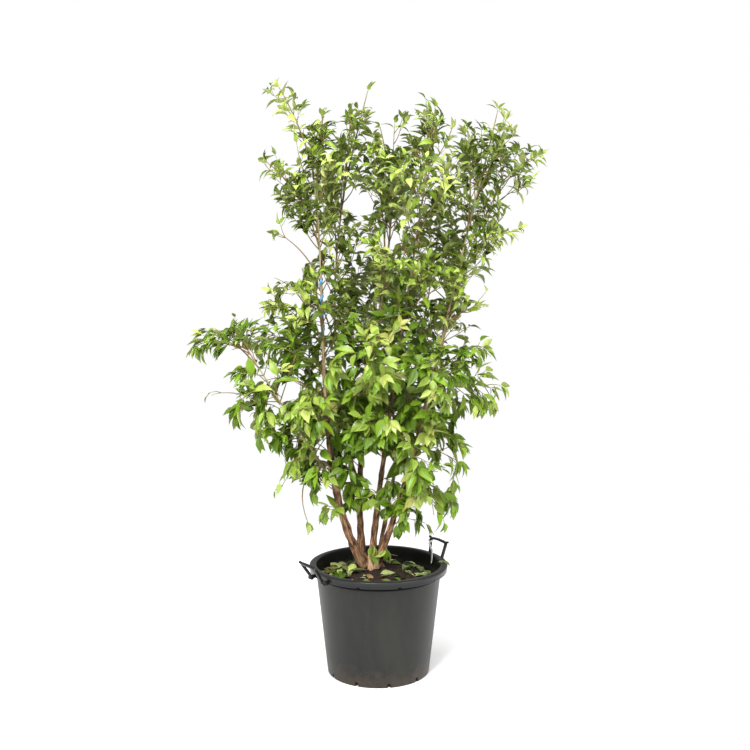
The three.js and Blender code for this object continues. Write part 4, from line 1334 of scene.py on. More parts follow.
    def nodes(self, shoots: Shoots, rule: ShootRule) -> tuple[Array, Array, Array]:
        """The nodes down each shoot, from the high share to the low one, about a spacing apart.

        Args:
            shoots: the shoots that bear them.
            rule: the spacing and the shares.

        Returns:
            Each node's shoot, its share along that and the turn of its first side, a quarter more each time.
        """
        high, low = rule.shares
        counts = np.maximum(1, np.round(shoots.lengths() * (high - low) / rule.spacing)).astype(int)
        owner = np.repeat(np.arange(len(counts)), counts)
        order = np.arange(counts.sum()) - np.repeat(np.cumsum(counts) - counts, counts)
        jitter = self.random.uniform(-0.25, 0.25, len(order)) * (order > 0)
        share = high + (low - high) * (order + jitter) / counts[owner]
        turn = shoots.roll[owner] + order * math.pi / 2 + self.random.normal(0, 0.2, len(order))
        return owner, share, turn

    def aims(self, heading: Array, turn: Array, degrees: Array) -> Array:
        """Directions that leave headings at an angle: cos angle heading + sin angle outward.

        Args:
            heading: the headings.
            turn: the turn of each outward direction round its heading.
            degrees: the angles.

        Returns:
            The directions.
        """
        outward = turned(*square_to(heading), turn)
        angle = np.radians(degrees + self.random.normal(0, 6, len(degrees)))
        return turned(heading, outward, angle)

    def pairs(self, shoots: Shoots, rule: ShootRule) -> tuple[Array, Array, Array, Array, Array]:
        """Both sides of every node, less those that bear nothing.

        Args:
            shoots: the shoots that bear them.
            rule: the spacing, shares, angles and how many sides bear anything.

        Returns:
            The shoot, share, place, heading there and aim of each.
        """
        owner, share, turn = self.nodes(shoots, rule)
        owner, share = np.tile(owner, 2), np.tile(share, 2)
        turn = np.concatenate([turn, turn + math.pi])
        keep = self.random.random(len(owner)) < rule.borne
        owner, share, turn = owner[keep], share[keep], turn[keep]
        heading = shoots.heading(owner, share)
        aim = self.aims(heading, turn, mixed(*rule.angles, share))
        return owner, share, shoots.place(owner, share), heading, aim

    def fitted(
        self, start: Array, aim: Array, length: Array, mass: Array, tint: Array, radii: Pair
    ) -> Shoots:
        """Shoots that turn up high in the crown and down low in it, cut back until they fit the crown.

        Args:
            start: where each starts.
            aim: which way it sets out.
            length: its full length.
            mass: its mass.
            tint: its tint.
            radii: the radii at foot and tip.

        Returns:
            The shoots that fit.
        """
        count = len(start)
        lift = mixed(*self.lifts, self.low[mass]) + self.random.normal(0, 0.2, count)
        way = unit(aim + lift[:, None] * UP)
        reach = length[:, None] * way
        margin = self.leaf_room * self.leaf[mass][:, None] * way
        fits = np.stack([self.held(start + reach * trim + margin, self.shoot_slack) for trim in self.trims])
        trim = np.array(self.trims)[fits.argmax(axis=0)]
        end = start + reach * trim[:, None]
        middle = start + 0.5 * aim * (length * trim)[:, None]
        keep = fits.any(axis=0) & (length * trim > self.shortest)
        inner = mixed(start, end, 0.6)
        for point, clearance in zip((end, inner), self.clearances):
            keep &= self.clear_of_wood(point, clearance) & ~self.opened(point)
        made = Shoots(start, middle, end, np.tile(radii, (count, 1)), mass, tint, self.turns(count))
        return made.kept(keep)

    def side_shoots(self, shoots: Shoots, rule: ShootRule, radii: Pair) -> Shoots:
        """Side shoots of shoots, in pairs; their lengths are shares of the room at their foot.

        Args:
            shoots: the shoots that bear them.
            rule: how they stand.
            radii: their radii at foot and tip.

        Returns:
            The new shoots.
        """
        owner, share, start, _, aim = self.pairs(shoots, rule)
        bare = self.slender[shoots.mass[owner]] & (share > self.bare_from)
        owner, share, start, aim = (values[~bare] for values in (owner, share, start, aim))
        mass = shoots.mass[owner]
        room = np.maximum(self.shape(start, mass)[2], 0.5 * self.girth[mass])
        length = room * self.random.uniform(*rule.lengths, len(owner)) * (1.1 - 0.45 * share)
        return self.fitted(start, aim, length, mass, shoots.tint[owner], radii)

    def sprouts(self) -> Shoots:
        """Shoots straight from the limbs, in pairs up their leafy part, each dealt to the nearest mass.

        Returns:
            The shoots.
        """
        found = []
        for limb in LIMBS:
            share = np.linspace(0, 1, int(limb.length() / self.sprout_step))[1:]
            count = len(share)
            share = share + self.random.uniform(-0.3, 0.3, count) * self.sprout_step / limb.length()
            place = limb.at(share)
            leafy = place[:, 2] > self.sprouts_above
            heading = unit(limb.at(share) - limb.at(share - 0.01))
            turn = math.pi / 2 * np.arange(count) + self.turns(1) + self.random.normal(0, 0.4, count)
            for side in (0.0, math.pi):
                found.append((place[leafy], heading[leafy], turn[leafy] + side, share[leafy]))
        start, heading, turn, share = (np.concatenate(values) for values in zip(*found))
        aim = self.aims(heading, turn, mixed(*self.sprout_angles, share))
        shares = mixed(*self.sprout_shares, share)
        length = self.random.uniform(*self.sprout_lengths, len(start)) * shares
        ahead = start + aim * 0.6 * length[:, None]
        mass = np.linalg.norm(ahead[:, None] - self.hearts, axis=2).argmin(axis=1)
        return self.fitted(start, aim, length, mass, np.zeros(len(start), int), self.sprout_radii)

    def deal_tints(self, shoots: Shoots) -> None:
        """Deals each spray a tint: darker near the stems and lighter outside, as painted shade deep in the
        crown, and otherwise at random.

        Args:
            shoots: the side shoots that start the sprays.
        """
        out = np.clip(self.gap(shoots.end, self.wood) / self.shaded_depth, 0, 1)
        # Painted shade: the nearer a spray ends to the stems, the darker its tint
        light = 0.35 * out + self.random.normal(0.2, 0.3, len(out))
        shoots.tint[:] = (light[:, None] > np.array(self.tint_steps)).sum(axis=1)

    def leaf_pairs(self, shoots: Shoots, rule: ShootRule) -> Leaves:
        """Opposite leaves down shoots. Each faces up and out, droops low in the crown and bends to its tip.

        Args:
            shoots: the shoots that bear them.
            rule: how they stand, and their shares of the mass's leaf length.

        Returns:
            The leaves.
        """
        owner, share, root, heading, aim = self.pairs(shoots, rule)
        mass, count = shoots.mass[owner], len(owner)
        low = self.low[mass]
        droop = mixed(*self.droops, low) * self.random.uniform(0.3, 1.5, count)
        along = unit(aim - droop[:, None] * UP)
        anyway = circling(1.0, self.turns(count), 0.0)
        ways = (UP, heading, unit(root * (1, 1, 0)), anyway)
        face = sum(strength * way for strength, way in zip(self.facing, ways))
        across = unit(np.cross(along, face))
        above = np.cross(across, along)
        young = mixed(1.0, 0.72, np.clip((share - 0.8) / 0.2, 0, 1))
        length = self.leaf[mass] * self.random.uniform(*rule.lengths, count) * young
        half = length * mixed(*self.leaf_slims, low) * self.random.uniform(0.85, 1.2, count)
        bend = np.radians(mixed(*(self.random.uniform(*bends, count) for bends in self.bends), low))
        fold = np.radians(self.random.uniform(*self.folds, count))
        stray = self.random.choice([-1, 0, 0, 0, 0, 0, 1], count)
        tint = np.clip(shoots.tint[owner] + stray, 0, 4)
        return Leaves(root, along, above, length, half, bend, fold, mass, tint)

    def grow(self) -> tuple[list[Shoots], Leaves]:
        """Grows the whole crown.

        Returns:
            The orders of shoots, and the leaves that lie in the crown, clear of the wood and in the box.
        """
        boughs = self.boughs()
        sprouts = self.sprouts()
        shoots = self.side_shoots(boughs, self.sides, self.shoot_radii)
        for order in (sprouts, shoots):
            self.deal_tints(order)
        fine = [self.side_shoots(order, self.finer, self.fine_radii) for order in (sprouts, shoots)]
        for order in fine:
            order.tint[:] = np.clip(order.tint + self.random.integers(-1, 2, len(order.tint)), 0, 4)
        orders = [boughs, sprouts, shoots, *fine]
        groups = [self.leaf_pairs(order, rule) for order, rule in zip(orders, self.bearing)]
        ends = [ShootRule(1e6, (1.0, 0.99), (12, 12), (0.8, 1.05), borne) for borne in self.ending]
        groups += [self.leaf_pairs(order, rule) for order, rule in zip(orders, ends)]
        return orders, self.settled(all_leaves(groups))

    def settled(self, leaves: Leaves) -> Leaves:
        """Drops the leaves that leave the crown or the box, or would pass through wood.

        Args:
            leaves: the leaves.

        Returns:
            Those that stay.
        """
        low, high = (np.array(corner) / MM for corner in CAD_BOX)
        line = leaves.midrib(np.array([0.35, 0.65, 1.0]))
        keep = self.held(line[:, 2], self.leaf_slack)
        for k in range(3):
            keep &= self.clear_of_wood(line[:, k], self.clearances[1])
        keep &= ((line > low - 4) & (line < high + 4)).all(axis=(1, 2))
        keep &= ~self.opened(line).any(axis=1)
        return leaves.kept(keep)

    def twig_piece(self, name: str, orders: list[Shoots], storey: int, finish: Material) -> None:
        """Makes the shoots of one storey a piece.

        Args:
            name: the piece's name.
            orders: the shoots, the thickest first.
            storey: which storey, 0 for the upper.
            finish: the young bark.
        """
        surface = Surface()
        for k, shoots in enumerate(orders):
            sides, places = self.twig_grids[k]
            some = shoots.kept(self.storey[shoots.mass] == storey)
            share = np.linspace(0, 1, places)
            each = [some.place(np.arange(len(some.mass)), np.full(len(some.mass), t)) for t in share]
            radii = mixed(some.radii[:, :1], some.radii[:, 1:], share)
            tube(surface, np.stack(each, axis=1), np.repeat(radii[..., None], sides, axis=2))
        surface.piece(name, [finish], "bark", self.masses_of(storey))

    def masses_of(self, storey: int) -> tuple[str, ...]:
        """The names of the masses in a storey."""
        return tuple(row[0] for row, at in zip(MASSES, self.storey) if at == storey)

    def build(self, finish: Material) -> None:
        """Grows the crown and makes its pieces: shoots by storey, and leaves by storey and tint.

        Args:
            finish: the young bark.
        """
        orders, leaves = self.grow()
        log.info("%d leaves on %d shoots", len(leaves.root), sum(len(order.mass) for order in orders))
        blade = Blade()
        for at, storey in enumerate(Storey):
            short = storey.name.lower()
            slot, tints = storey.value
            self.twig_piece("shoots_" + short, orders, at, finish)
            for k, tint in enumerate(tints):
                some = leaves.kept((self.storey[leaves.mass] == at) & (leaves.tint == k))
                if len(some.root):
                    name = "leaves_" + short + "_" + tint.name.lower()
                    blade.piece(name, some, tint, slot, self.masses_of(at))


@dataclass
class Pot:
    """The tub: a tapering wall, a hooked lip with a bead, drainage slots, notches, and the handles' ears."""

    height: float = 400.0
    foot_radius: float = 184.8
    neck_radius: float = 226.5
    rim_radius: float = 250.0
    lip_depth: float = 25.0
    lip_width: float = 8.0
    oval: float = 0.0016
    oval_turn: float = 0.8
    crease: float = 38.0
    wall: float = 4.0
    floor: float = 5.0
    columns: int = 144
    slot_first: float = -78.5
    slot_count: int = 10
    slot_size: Pair = (11.0, 15.0)
    slot_depth: float = 14.0
    # How far in from the foot's radius the slots push the outside, and the inside up to its own height
    slot_reach: float = 13.0
    slot_inside: Pair = (20.0, 25.0)
    notch_from_handle: tuple[float, ...] = (39.5, 73.2, 106.8, 140.5)
    notch_size: Pair = (13.0, 4.0)
    handle_azimuths: Pair = (34.0, 214.0)
    pin_radial: float = 259.0
    pin_level: float = 377.0
    pin_radius: float = 3.0
    leg_foot: float = 38.0
    leg_thick: float = 8.0
    leg_play: float = 0.6
    # Where the band under the lip begins, which is painted near black as the lip's shadow
    grime_level: float = 361.0
    # The ears: their thickness, the radius of their nose, their bevel and half the height of their back
    lug_thick: float = 8.0
    lug_radius: float = 8.0
    lug_bevel: float = 0.8
    lug_back: float = 6.0

    def inner_radius(self, level: float) -> float:
        """The inner wall's radius at a level."""
        slope = (self.neck_radius - self.foot_radius) / (self.height - self.lip_depth)
        return self.foot_radius - self.wall + slope * level

    def outline(self) -> Array:
        """The wall's section from the middle of the underside round the lip to the middle of the floor.

        Returns:
            The radius and level of its points, one row each.
        """
        skirt, top, rim, neck = self.height - self.lip_depth, self.height, self.rim_radius, self.neck_radius
        slot, under = self.slot_size[1], self.height - self.wall - 1
        outer = self.inner_radius(slot) + self.wall
        foot = [(0, 0, 0), (self.foot_radius - 12, 0, 0), (self.foot_radius, 0, 3)]
        side = [(outer - 0.05, slot - 0.5, 0), (outer, slot + 0.5, 0)]
        band = [(self.inner_radius(self.grime_level) + self.wall, self.grime_level, 0), (neck, skirt - 3, 4)]
        hook = [(neck + 3, under, 3), (rim - 5.5, under, 3), (rim - 4.5, skirt, 0.8), (rim - 1.6, skirt, 0.8)]
        bead = [(rim - 1.2, top - 14, 1), (rim, top - 11.5, 1.2), (rim, top - 2.5, 2.5), (rim - 7, top, 3)]
        brim = [(neck + 3, top, 3), (neck - 1.5, top - 3, 2)]
        levels = ((skirt, 3), (30, 0), (24, 0), (self.floor, 6))
        inside = [(self.inner_radius(level), level, corner) for level, corner in levels]
        return rounded(foot + side + band + hook + bead + brim + inside + [(0, self.floor, 0)])

    def edges(self) -> tuple[Array, Array, Array]:
        """The azimuths of the columns in radians, and which of them are in a slot or in a notch.

        Returns:
            The azimuths, and for each whether it is in a slot and whether it is in a notch.
        """
        slots = self.slot_first + np.arange(self.slot_count) * 360 / self.slot_count
        notches = np.add.outer(self.handle_azimuths, self.notch_from_handle).ravel()
        half_slot = math.degrees(self.slot_size[0] / 2 / self.foot_radius)
        half_notch = math.degrees(self.notch_size[0] / 2 / self.rim_radius)
        gaps = ((slots, half_slot), (notches, half_notch))
        sides = [(middles[:, None] + np.array([-1.04, -1, 1, 1.04]) * half).ravel() for middles, half in gaps]
        even = np.arange(self.columns) * 360 / self.columns
        azimuths = np.unique(np.round(np.concatenate([even, *sides]) % 360, 4))
        away = [np.abs((azimuths[:, None] - middles + 180) % 360 - 180).min(axis=1) for middles, _ in gaps]
        return np.radians(azimuths), away[0] <= half_slot + 1e-3, away[1] <= half_notch + 1e-3

    def shell(self, finishes: list[Material]) -> None:
        """Builds the wall: its section carried round the axis, pushed in at the slots and up at the notches.

        Args:
            finishes: of the outside, of the band under the lip, which is painted near black as the lip's
                shadow, and of the inside.
        """
        outline = self.outline()
        turn, slotted, notched = self.edges()
        radius = np.repeat(outline[:, :1], len(turn), axis=1)
        level = np.repeat(outline[:, 1:], len(turn), axis=1)
        outside = np.arange(len(outline)) < np.argmax(outline[:, 1] > self.height - self.wall)
        reach, top = self.slot_inside
        cut = (level < self.slot_size[1]) & (radius > self.foot_radius - self.slot_reach) & outside[:, None]
        behind = (level < top) & (radius > self.foot_radius - reach) & ~outside[:, None]
        radius = np.where((cut | behind) & slotted, radius - self.slot_depth, radius)
        lip = self.rim_radius - self.lip_width
        in_notch = (level < self.height - self.lip_depth + 2) & (radius > lip) & notched
        level = np.where(in_notch, level + self.notch_size[1], level)
        oval = 1 + self.oval * np.cos(2 * turn + self.oval_turn) * np.clip(level / self.height, 0, 1)
        places = circling(radius * oval, turn, level)
        surface = Surface()
        surface.add_rings(places[None, 1:-1], places[None, [0, -1], 0])
        for azimuth in self.handle_azimuths:
            self.ears(surface, azimuth)
        mesh = surface.piece("pot_shell", finishes, "pot", ("pot",)).data
        # Painted shadow: the band under the lip takes the second finish, near black and with little gloss
        painted_shadow = (outline[:, 1] > self.grime_level - 1) & (outline[:, 0] < lip)
        kind = np.where(outside, np.where(painted_shadow, 1, 0), 2)[1:-2]
        kinds = np.zeros(len(mesh.polygons), np.int32)
        kinds[: len(kind) * len(turn)] = np.repeat(kind, len(turn))
        mesh.polygons.foreach_set("material_index", kinds)
        mesh.set_sharp_from_angle(angle=math.radians(self.crease))

    def ears(self, surface: Surface, azimuth: float) -> None:
        """Adds the two ears outside a handle's legs, each with the pin that the leg turns on.

        Args:
            surface: what they are added to.
            azimuth: where the handle is.
        """
        inner = self.leg_foot + self.leg_thick / 2 + self.leg_play
        hidden = math.sqrt(self.rim_radius**2 - (inner + self.lug_thick) ** 2) - 2.5
        arc = np.radians(np.linspace(-90, 90, 13))
        nose = np.stack([np.cos(arc), np.sin(arc)], axis=1) * self.lug_radius
        back = [[hidden, self.pin_level + self.lug_back], [hidden, self.pin_level - self.lug_back]]
        outline = np.concatenate([nose + (self.pin_radial, self.pin_level), back])
        middle = outline.mean(axis=0)
        count = len(outline)
        bevel = self.lug_bevel
        steps = [(0.0, 0.9), (bevel, 1.0), (self.lug_thick - bevel, 1.0), (self.lug_thick, 0.9)]
        for side in (-1, 1):
            rings = []
            for out, scale in steps:
                ring = middle + (outline - middle) * scale
                rings.append(np.insert(ring, 1, side * (inner + out), axis=1))
            ends = np.stack([rings[0].mean(axis=0), rings[-1].mean(axis=0)])
            quads, triangles = joined(4, count)[:, [0, 3, 2, 1]], fans(4, count)[:, [0, 2, 1]]
            if side < 0:
                quads, triangles = quads[:, ::-1], triangles[:, ::-1]
            surface.add(around_pot(np.concatenate([*rings, ends]), azimuth), quads, triangles)
            reach = (self.leg_foot - self.leg_thick / 2 - 1.5, inner + 1)
            pin = np.array([[self.pin_radial, side * beside, self.pin_level] for beside in reach])
            tube(surface, around_pot(pin, azimuth)[None], np.full((1, 2, 14), self.pin_radius), UP)


@dataclass
class Handle:
    """A lifting handle: a hoop of two legs and a bar, with small horns, and round eyes on the pins."""

    name: str
    azimuth: float
    lean: float
    pot: Pot
    hoop: tuple[Pair, ...] = ((38, 4), (38, 15), (46, 60), (45, 66), (30, 68), (0, 69.5))
    thick: float = 8.0
    deep: float = 11.0
    eye_radius: float = 7.5
    hole_radius: float = 3.5
    horn: tuple[Pair, ...] = ((40, 66.5), (48, 68), (54, 70), (57, 71.5))
    horn_half: Pair = (3.4, 4.6)
    end_taper: float = 0.86
    crease: float = 40.0

    def placed(self, beside: Array, rise: Array) -> Array:
        """Points of the leaning hoop's plane, from the pins: beside along the rim and rise up the legs.

        Args:
            beside: how far along the rim each lies.
            rise: how far up the legs.

        Returns:
            The points in the part's frame.
        """
        lean = math.radians(self.lean)
        outward = self.pot.pin_radial + rise * math.sin(lean)
        local = np.stack([outward, beside, self.pot.pin_level + rise * math.cos(lean)], axis=-1)
        return around_pot(local, self.azimuth)

    def bar(self, surface: Surface, line: Array, half: Pair) -> None:
        """Adds a bar of rounded rectangular section: radius = ((cos/a)^6 + (sin/b)^6)^(-1/6).

        Args:
            surface: what it is added to.
            line: the bar's line in the hoop's plane.
            half: half its thickness and half its depth.
        """
        turn = FULL_TURN * (np.arange(20) + 0.5) / 20
        radius = ((np.abs(np.cos(turn)) / half[0]) ** 6 + (np.abs(np.sin(turn)) / half[1]) ** 6) ** (-1 / 6)
        taper = np.ones(len(line))
        taper[[0, -1]] = self.end_taper
        facing = self.placed(np.zeros(1), np.array([1.0]))[0] - self.placed(np.zeros(1), np.zeros(1))[0]
        guide = unit(np.cross(facing, around_pot(np.array([0.0, 1.0, 0.0]), self.azimuth)))
        tube(surface, self.placed(line[:, 0], line[:, 1])[None], (taper[:, None] * radius)[None], guide)

    def eye(self, surface: Surface, beside: float) -> None:
        """Adds an eye: a rounded ring round the pin's axis.

        Args:
            surface: what it is added to.
            beside: where along the rim its middle is.
        """
        half, hole, rim = self.thick / 2, self.hole_radius, self.eye_radius
        section = rounded([(hole, -half, 0.6), (rim, -half, 1.4), (rim, half, 1.4), (hole, half, 0.6)])
        ring = circling(section[:, :1], ring_angles(28), section[:, 1:])
        local = ring[..., [0, 2, 1]] + (self.pot.pin_radial, beside, self.pot.pin_level)
        quads = joined(*local.shape[:2], looped=True)[:, ::-1]
        surface.add(around_pot(local.reshape(-1, 3), self.azimuth), quads)

    def build(self, finish: Material) -> None:
        """Builds the handle, which rides on its own body.

        Args:
            finish: the handles' plastic.
        """
        surface = Surface()
        right = np.array(self.hoop)
        line = resampled(np.concatenate([right * (-1, 1), right[-2::-1]]), 60, 2)
        smooth = np.copy(line)
        smooth[1:-1] = (line[:-2] + 2 * line[1:-1] + line[2:]) / 4
        self.bar(surface, smooth, (self.thick / 2, self.deep / 2))
        for side in (-1, 1):
            self.bar(surface, np.array(self.horn) * (side, 1), self.horn_half)
            self.eye(surface, side * self.pot.leg_foot)
        piece = surface.piece(self.name + "_hoop", [finish], "handle", (self.name,), self.name)
        piece.data.set_sharp_from_angle(angle=math.radians(self.crease))


@dataclass
class Ties:
    """A blue tape wound up one stem, and a plain white strap looped round a leg of the right handle."""

    handle: Handle
    stem: Limb
    tape_levels: Pair = (1225.0, 1430.0)
    tape_pitch: float = 58.0
    tape_size: Pair = (8.0, 0.7)
    strap_size: Pair = (7.0, 0.9)
    # Its place out from the pins' line, beside the hoop's middle and up; and the place that it curls round
    strap_path: tuple[tuple[float, ...], ...] = (
        (5.0, 41.5, 57.0, 11.9, 45.5, 55.8),
        (5.0, 50.8, 56.6, 11.9, 45.5, 55.8),
        (18.8, 50.8, 56.0, 11.9, 45.5, 55.8),
        (18.8, 40.2, 55.4, 11.9, 45.5, 55.8),
        (5.0, 39.6, 54.0, 11.9, 45.5, 55.8),
        (-8.0, 28.0, 50.0, 0.0, 28.0, 0.0),
        (-22.0, 2.0, 45.0, 0.0, 2.0, 0.0),
        (-34.0, -24.0, 36.0, 0.0, -24.0, 0.0),
        (-45.0, -38.0, 18.0, 0.0, -38.0, 0.0),
        (-50.0, -41.0, -4.0, 0.0, -41.0, 0.0),
    )

    def tape(self, finish: Material) -> None:
        """Builds the tape: place = stem + (1.2 radius + 0.5)(cos turn across + sin turn aside).

        Args:
            finish: the tape's plastic.
        """
        shares = np.linspace(0, 1, 400)
        levels = self.stem.at(shares)[:, 2]
        rise = np.linspace(*self.tape_levels, 140)
        share = np.interp(rise, levels, shares)
        middle = self.stem.at(share)
        sides = square_to(unit(np.gradient(middle, axis=0)), SIDEWAYS)
        out = turned(*sides, FULL_TURN * (rise - rise[0]) / self.tape_pitch)
        surface = Surface()
        ribbon(surface, middle + out * (1.2 * self.stem.radius(share) + 0.5)[:, None], out, *self.tape_size)
        surface.piece("stem_tape", [finish], "handle")

    def strap(self, finish: Material) -> None:
        """Builds the strap: once round a leg of the hoop, then inwards over the rim and down.

        Args:
            finish: the strap's plastic.
        """
        every = resampled(np.array(self.strap_path), 90, 3)
        every[1:-1] = (every[:-2] + every[1:-1] + every[2:]) / 3
        pins = np.array([self.handle.pot.pin_radial, 0.0, self.handle.pot.pin_level])
        line, core = (around_pot(part + pins, self.handle.azimuth) for part in (every[:, :3], every[:, 3:]))
        heading, away = unit(np.gradient(line, axis=0)), line - core
        above = unit(away - (away * heading).sum(axis=1, keepdims=True) * heading)
        surface = Surface()
        ribbon(surface, line, above, *self.strap_size)
        surface.piece("handle_strap", [finish], "handle", body=self.handle.name)


@dataclass
class CompostBed:
    """The compost: crumbly, flat under the clump and falling away to the wall, with fallen leaves on it."""

    pot: Pot
    wall_level: float = 338.0
    crown_level: float = 372.0
    crown_radius: float = 95.0
    mound_place: Triple = (-18.0, -12.0, 0.0)
    mound_rise: float = 14.0
    mound_radius: float = 62.0
    # Depth, size and seed of the lumps and crumbs of its surface
    lumps: tuple[tuple[float, float, int], ...] = ((2.6, 48, 31), (1.7, 17, 32), (1.1, 8, 33))
    fit: float = 0.4
    rings: int = 70
    columns: int = 150
    # Crumbs and fallen leaves keep off the wall by a margin, and off the middle by a radius of their own
    margin: float = 14.0
    crumbs: int = 1500
    crumbs_from: float = 20.0
    crumb_sizes: Pair = (1.4, 4.2)
    fallen: int = 95
    fallen_from: float = 88.0
    fallen_lengths: Pair = (38, 78)
    heap: Pair = (-135.0, 50.0)
    heap_spread: Pair = (46, 40)
    heaped: int = 75
    stool_place: Pair = (-27.0, 20.0)
    stool_room: float = 72.0
    # Place, heading, rise of the tip, length, half width as a share, bend and tint
    single: tuple[tuple[float, ...], ...] = (
        (34, -62, 382, 20, 0.1, 66, 0.25, 20, 2),
        (-48, -82, 378, 60, 0.15, 30, 0.2, 30, 2),
        (122, -30, 366, 150, 0.05, 62, 0.2, 35, 2),
        (150, -10, 362, 20, 0.1, 58, 0.2, 40, 0),
        (176, 40, 356, 70, 0.2, 55, 0.2, 60, 2),
        (240, 6, 404, 12, 0.06, 56, 0.17, 50, 1),
        (250, -6, 403, -28, -0.1, 34, 0.22, 60, 1),
    )

    def level(self, places: Array) -> Array:
        """The surface's height: the smooth fall to the wall, heaped round the stool, with lumps and crumbs.

        Args:
            places: x and y of each place, with any third number.

        Returns:
            The heights.
        """
        radius = np.linalg.norm(places[..., :2], axis=-1)
        wall = self.pot.inner_radius(self.wall_level) - self.fit
        knots = [0, self.crown_radius, self.crown_radius + 30, wall - 24, wall]
        crown, edge = self.crown_level, self.wall_level
        heights = [crown, crown, crown - 9, edge + 4, edge]
        flat = places * (1, 1, 0)
        lumps = sum(depth * ripple(flat, size, seed) for depth, size, seed in self.lumps)
        away = np.linalg.norm(flat - self.mound_place, axis=-1) / self.mound_radius
        return np.interp(radius, knots, heights) + lumps + self.mound_rise * np.exp(-(away**2))

    def bed(self, finish: Material) -> None:
        """Builds the bed: rings at the surface's height, closed down the wall and over the floor.

        Args:
            finish: the compost.
        """
        wall = self.pot.inner_radius(self.wall_level) - self.fit
        floor = self.pot.inner_radius(self.pot.floor + 3) - self.pot.slot_depth - 4
        ring = wall * np.linspace(1, 1 / self.rings, self.rings)
        below = [floor - 3, floor, floor + 3, self.pot.inner_radius(40) - self.fit]
        radius = np.concatenate([below, ring])[:, None]
        places = circling(radius, ring_angles(self.columns), 0.0)
        heights = self.level(places)
        heights[:4] = np.array([self.pot.floor + self.fit, self.pot.floor + 3, 28.0, 40.0])[:, None]
        places[..., 2] = heights
        middle = np.array([[0, 0, heights[0, 0]], [0, 0, heights[-1].mean()]])
        surface = Surface()
        surface.add_rings(places[None], middle[None])
        surface.piece("compost_bed", [finish], "compost", ("compost",))

    def scattered(self, count: int, seed: int, inner: float) -> tuple[Array, np.random.Generator]:
        """Places on the bed, even over its area, outside an inner radius.

        Args:
            count: how many.
            seed: which scatter it is.
            inner: the radius left free.

        Returns:
            The places, and the random numbers to go on with.
        """
        draw = np.random.default_rng(seed)
        wall = self.pot.inner_radius(self.wall_level) - self.margin
        radius = np.sqrt(draw.uniform(inner**2, wall**2, count))
        turn = draw.uniform(0, FULL_TURN, count)
        places = circling(radius, turn, 0.0)
        places[:, 2] = self.level(places)
        return places, draw

    def crumb_piece(self, finish: Material) -> None:
        """Builds loose crumbs and bark chips, each a stretched eight-sided lump turned its own way.

        Args:
            finish: the compost.
        """
        places, draw = self.scattered(self.crumbs, 41, self.crumbs_from)
        base = np.array([[1, 0, 0], [0, 1, 0], [-1, 0, 0], [0, -1, 0], [0, 0, 1], [0, 0, -1]], float)
        round_it = [(k, (k + 1) % 4) for k in range(4)]
        faces = np.array([[a, b, 4] for a, b in round_it] + [[b, a, 5] for a, b in round_it])
        count = self.crumbs
        size = draw.uniform(*self.crumb_sizes, (count, 1, 1)) * draw.uniform(0.5, 1.6, (count, 1, 3))
        first = unit(draw.normal(size=(count, 3)))
        second = unit(np.cross(first, draw.normal(size=(count, 3))))
        frames = np.stack([first, second, np.cross(first, second)], axis=1)
        jagged = base + draw.uniform(-0.3, 0.3, (count, 6, 3))
        points = places[:, None] + np.einsum("nkj,nji->nki", jagged * size, frames)
        surface = Surface()
        surface.add(points, triangles=faces)
        surface.piece("compost_crumbs", [finish], "compost")

    def strewn(self) -> Leaves:
        """The leaves that fell anywhere, and those that lie in a heap on one side.

        Returns:
            The leaves.
        """
        wide, draw = self.scattered(self.fallen, 47, self.fallen_from)
        heap = np.array(self.heap) + draw.normal(0, 1, (self.heaped, 2)) * self.heap_spread
        heap = np.concatenate([heap, np.zeros((self.heaped, 1))], axis=1)
        heap[:, 2] = self.level(heap) + draw.uniform(0, 12, self.heaped)
        places = np.concatenate([wide, heap])
        count = len(places)
        turn = draw.uniform(0, FULL_TURN, count)
        along = unit(np.stack([np.cos(turn), np.sin(turn), draw.normal(0, 0.16, count)], axis=1))
        across = unit(np.cross(along, UP + draw.normal(0, 0.3, (count, 3))))
        length = draw.uniform(*self.fallen_lengths, count)
        return Leaves(
            places + UP * draw.uniform(5, 12, (count, 1)) - along * (0.5 * length)[:, None],
            along,
            np.cross(across, along),
            length,
            length * draw.uniform(0.17, 0.26, count),
            np.radians(draw.uniform(4, 70, count)),
            np.radians(draw.uniform(2, 40, count)),
            np.zeros(count, int),
            draw.choice(5, count, p=(0.2, 0.28, 0.26, 0.1, 0.16)),
        )

    def laid(self) -> Leaves:
        """The leaves that lie where the photograph shows single ones.

        Returns:
            The leaves.
        """
        table = np.array(self.single, float)
        count = len(table)
        turn = np.radians(table[:, 3])
        along = unit(np.stack([np.cos(turn), np.sin(turn), table[:, 4]], axis=1))
        across = unit(np.cross(along, np.tile(UP, (count, 1)) - (0, 0.35, 0)))
        length = table[:, 5]
        root = table[:, :3] - along * (0.5 * length)[:, None]
        half, bend, fold = length * table[:, 6], np.radians(table[:, 7]), np.full(count, 0.2)
        mass, tint = np.zeros(count, int), table[:, 8].astype(int)
        return Leaves(root, along, np.cross(across, along), length, half, bend, fold, mass, tint)

    def fallen_leaves(self) -> None:
        """Builds the leaves that lie on the compost and on the rim, a piece for each tint."""
        wall = self.pot.inner_radius(self.wall_level) - 4
        strewn = self.strewn()
        ends = strewn.midrib(np.array([0.0, 1.0]))
        inside = (np.linalg.norm(ends[..., :2], axis=-1) < wall).all(axis=1)
        middle = strewn.midrib(np.array([0.5]))[:, 0]
        clear = np.linalg.norm(middle[:, :2] - self.stool_place, axis=1) > self.stool_room
        leaves = all_leaves([strewn.kept(inside & clear), self.laid()])
        tints = (LeafTint.DEEP, LeafTint.WILTED, LeafTint.FADED, LeafTint.PALE, LeafTint.WITHERED)
        for k, tint in enumerate(tints):
            some = leaves.kept(leaves.tint == k)
            Blade().piece("fallen_leaves_" + tint.name.lower(), some, tint, "leaf_low", ())

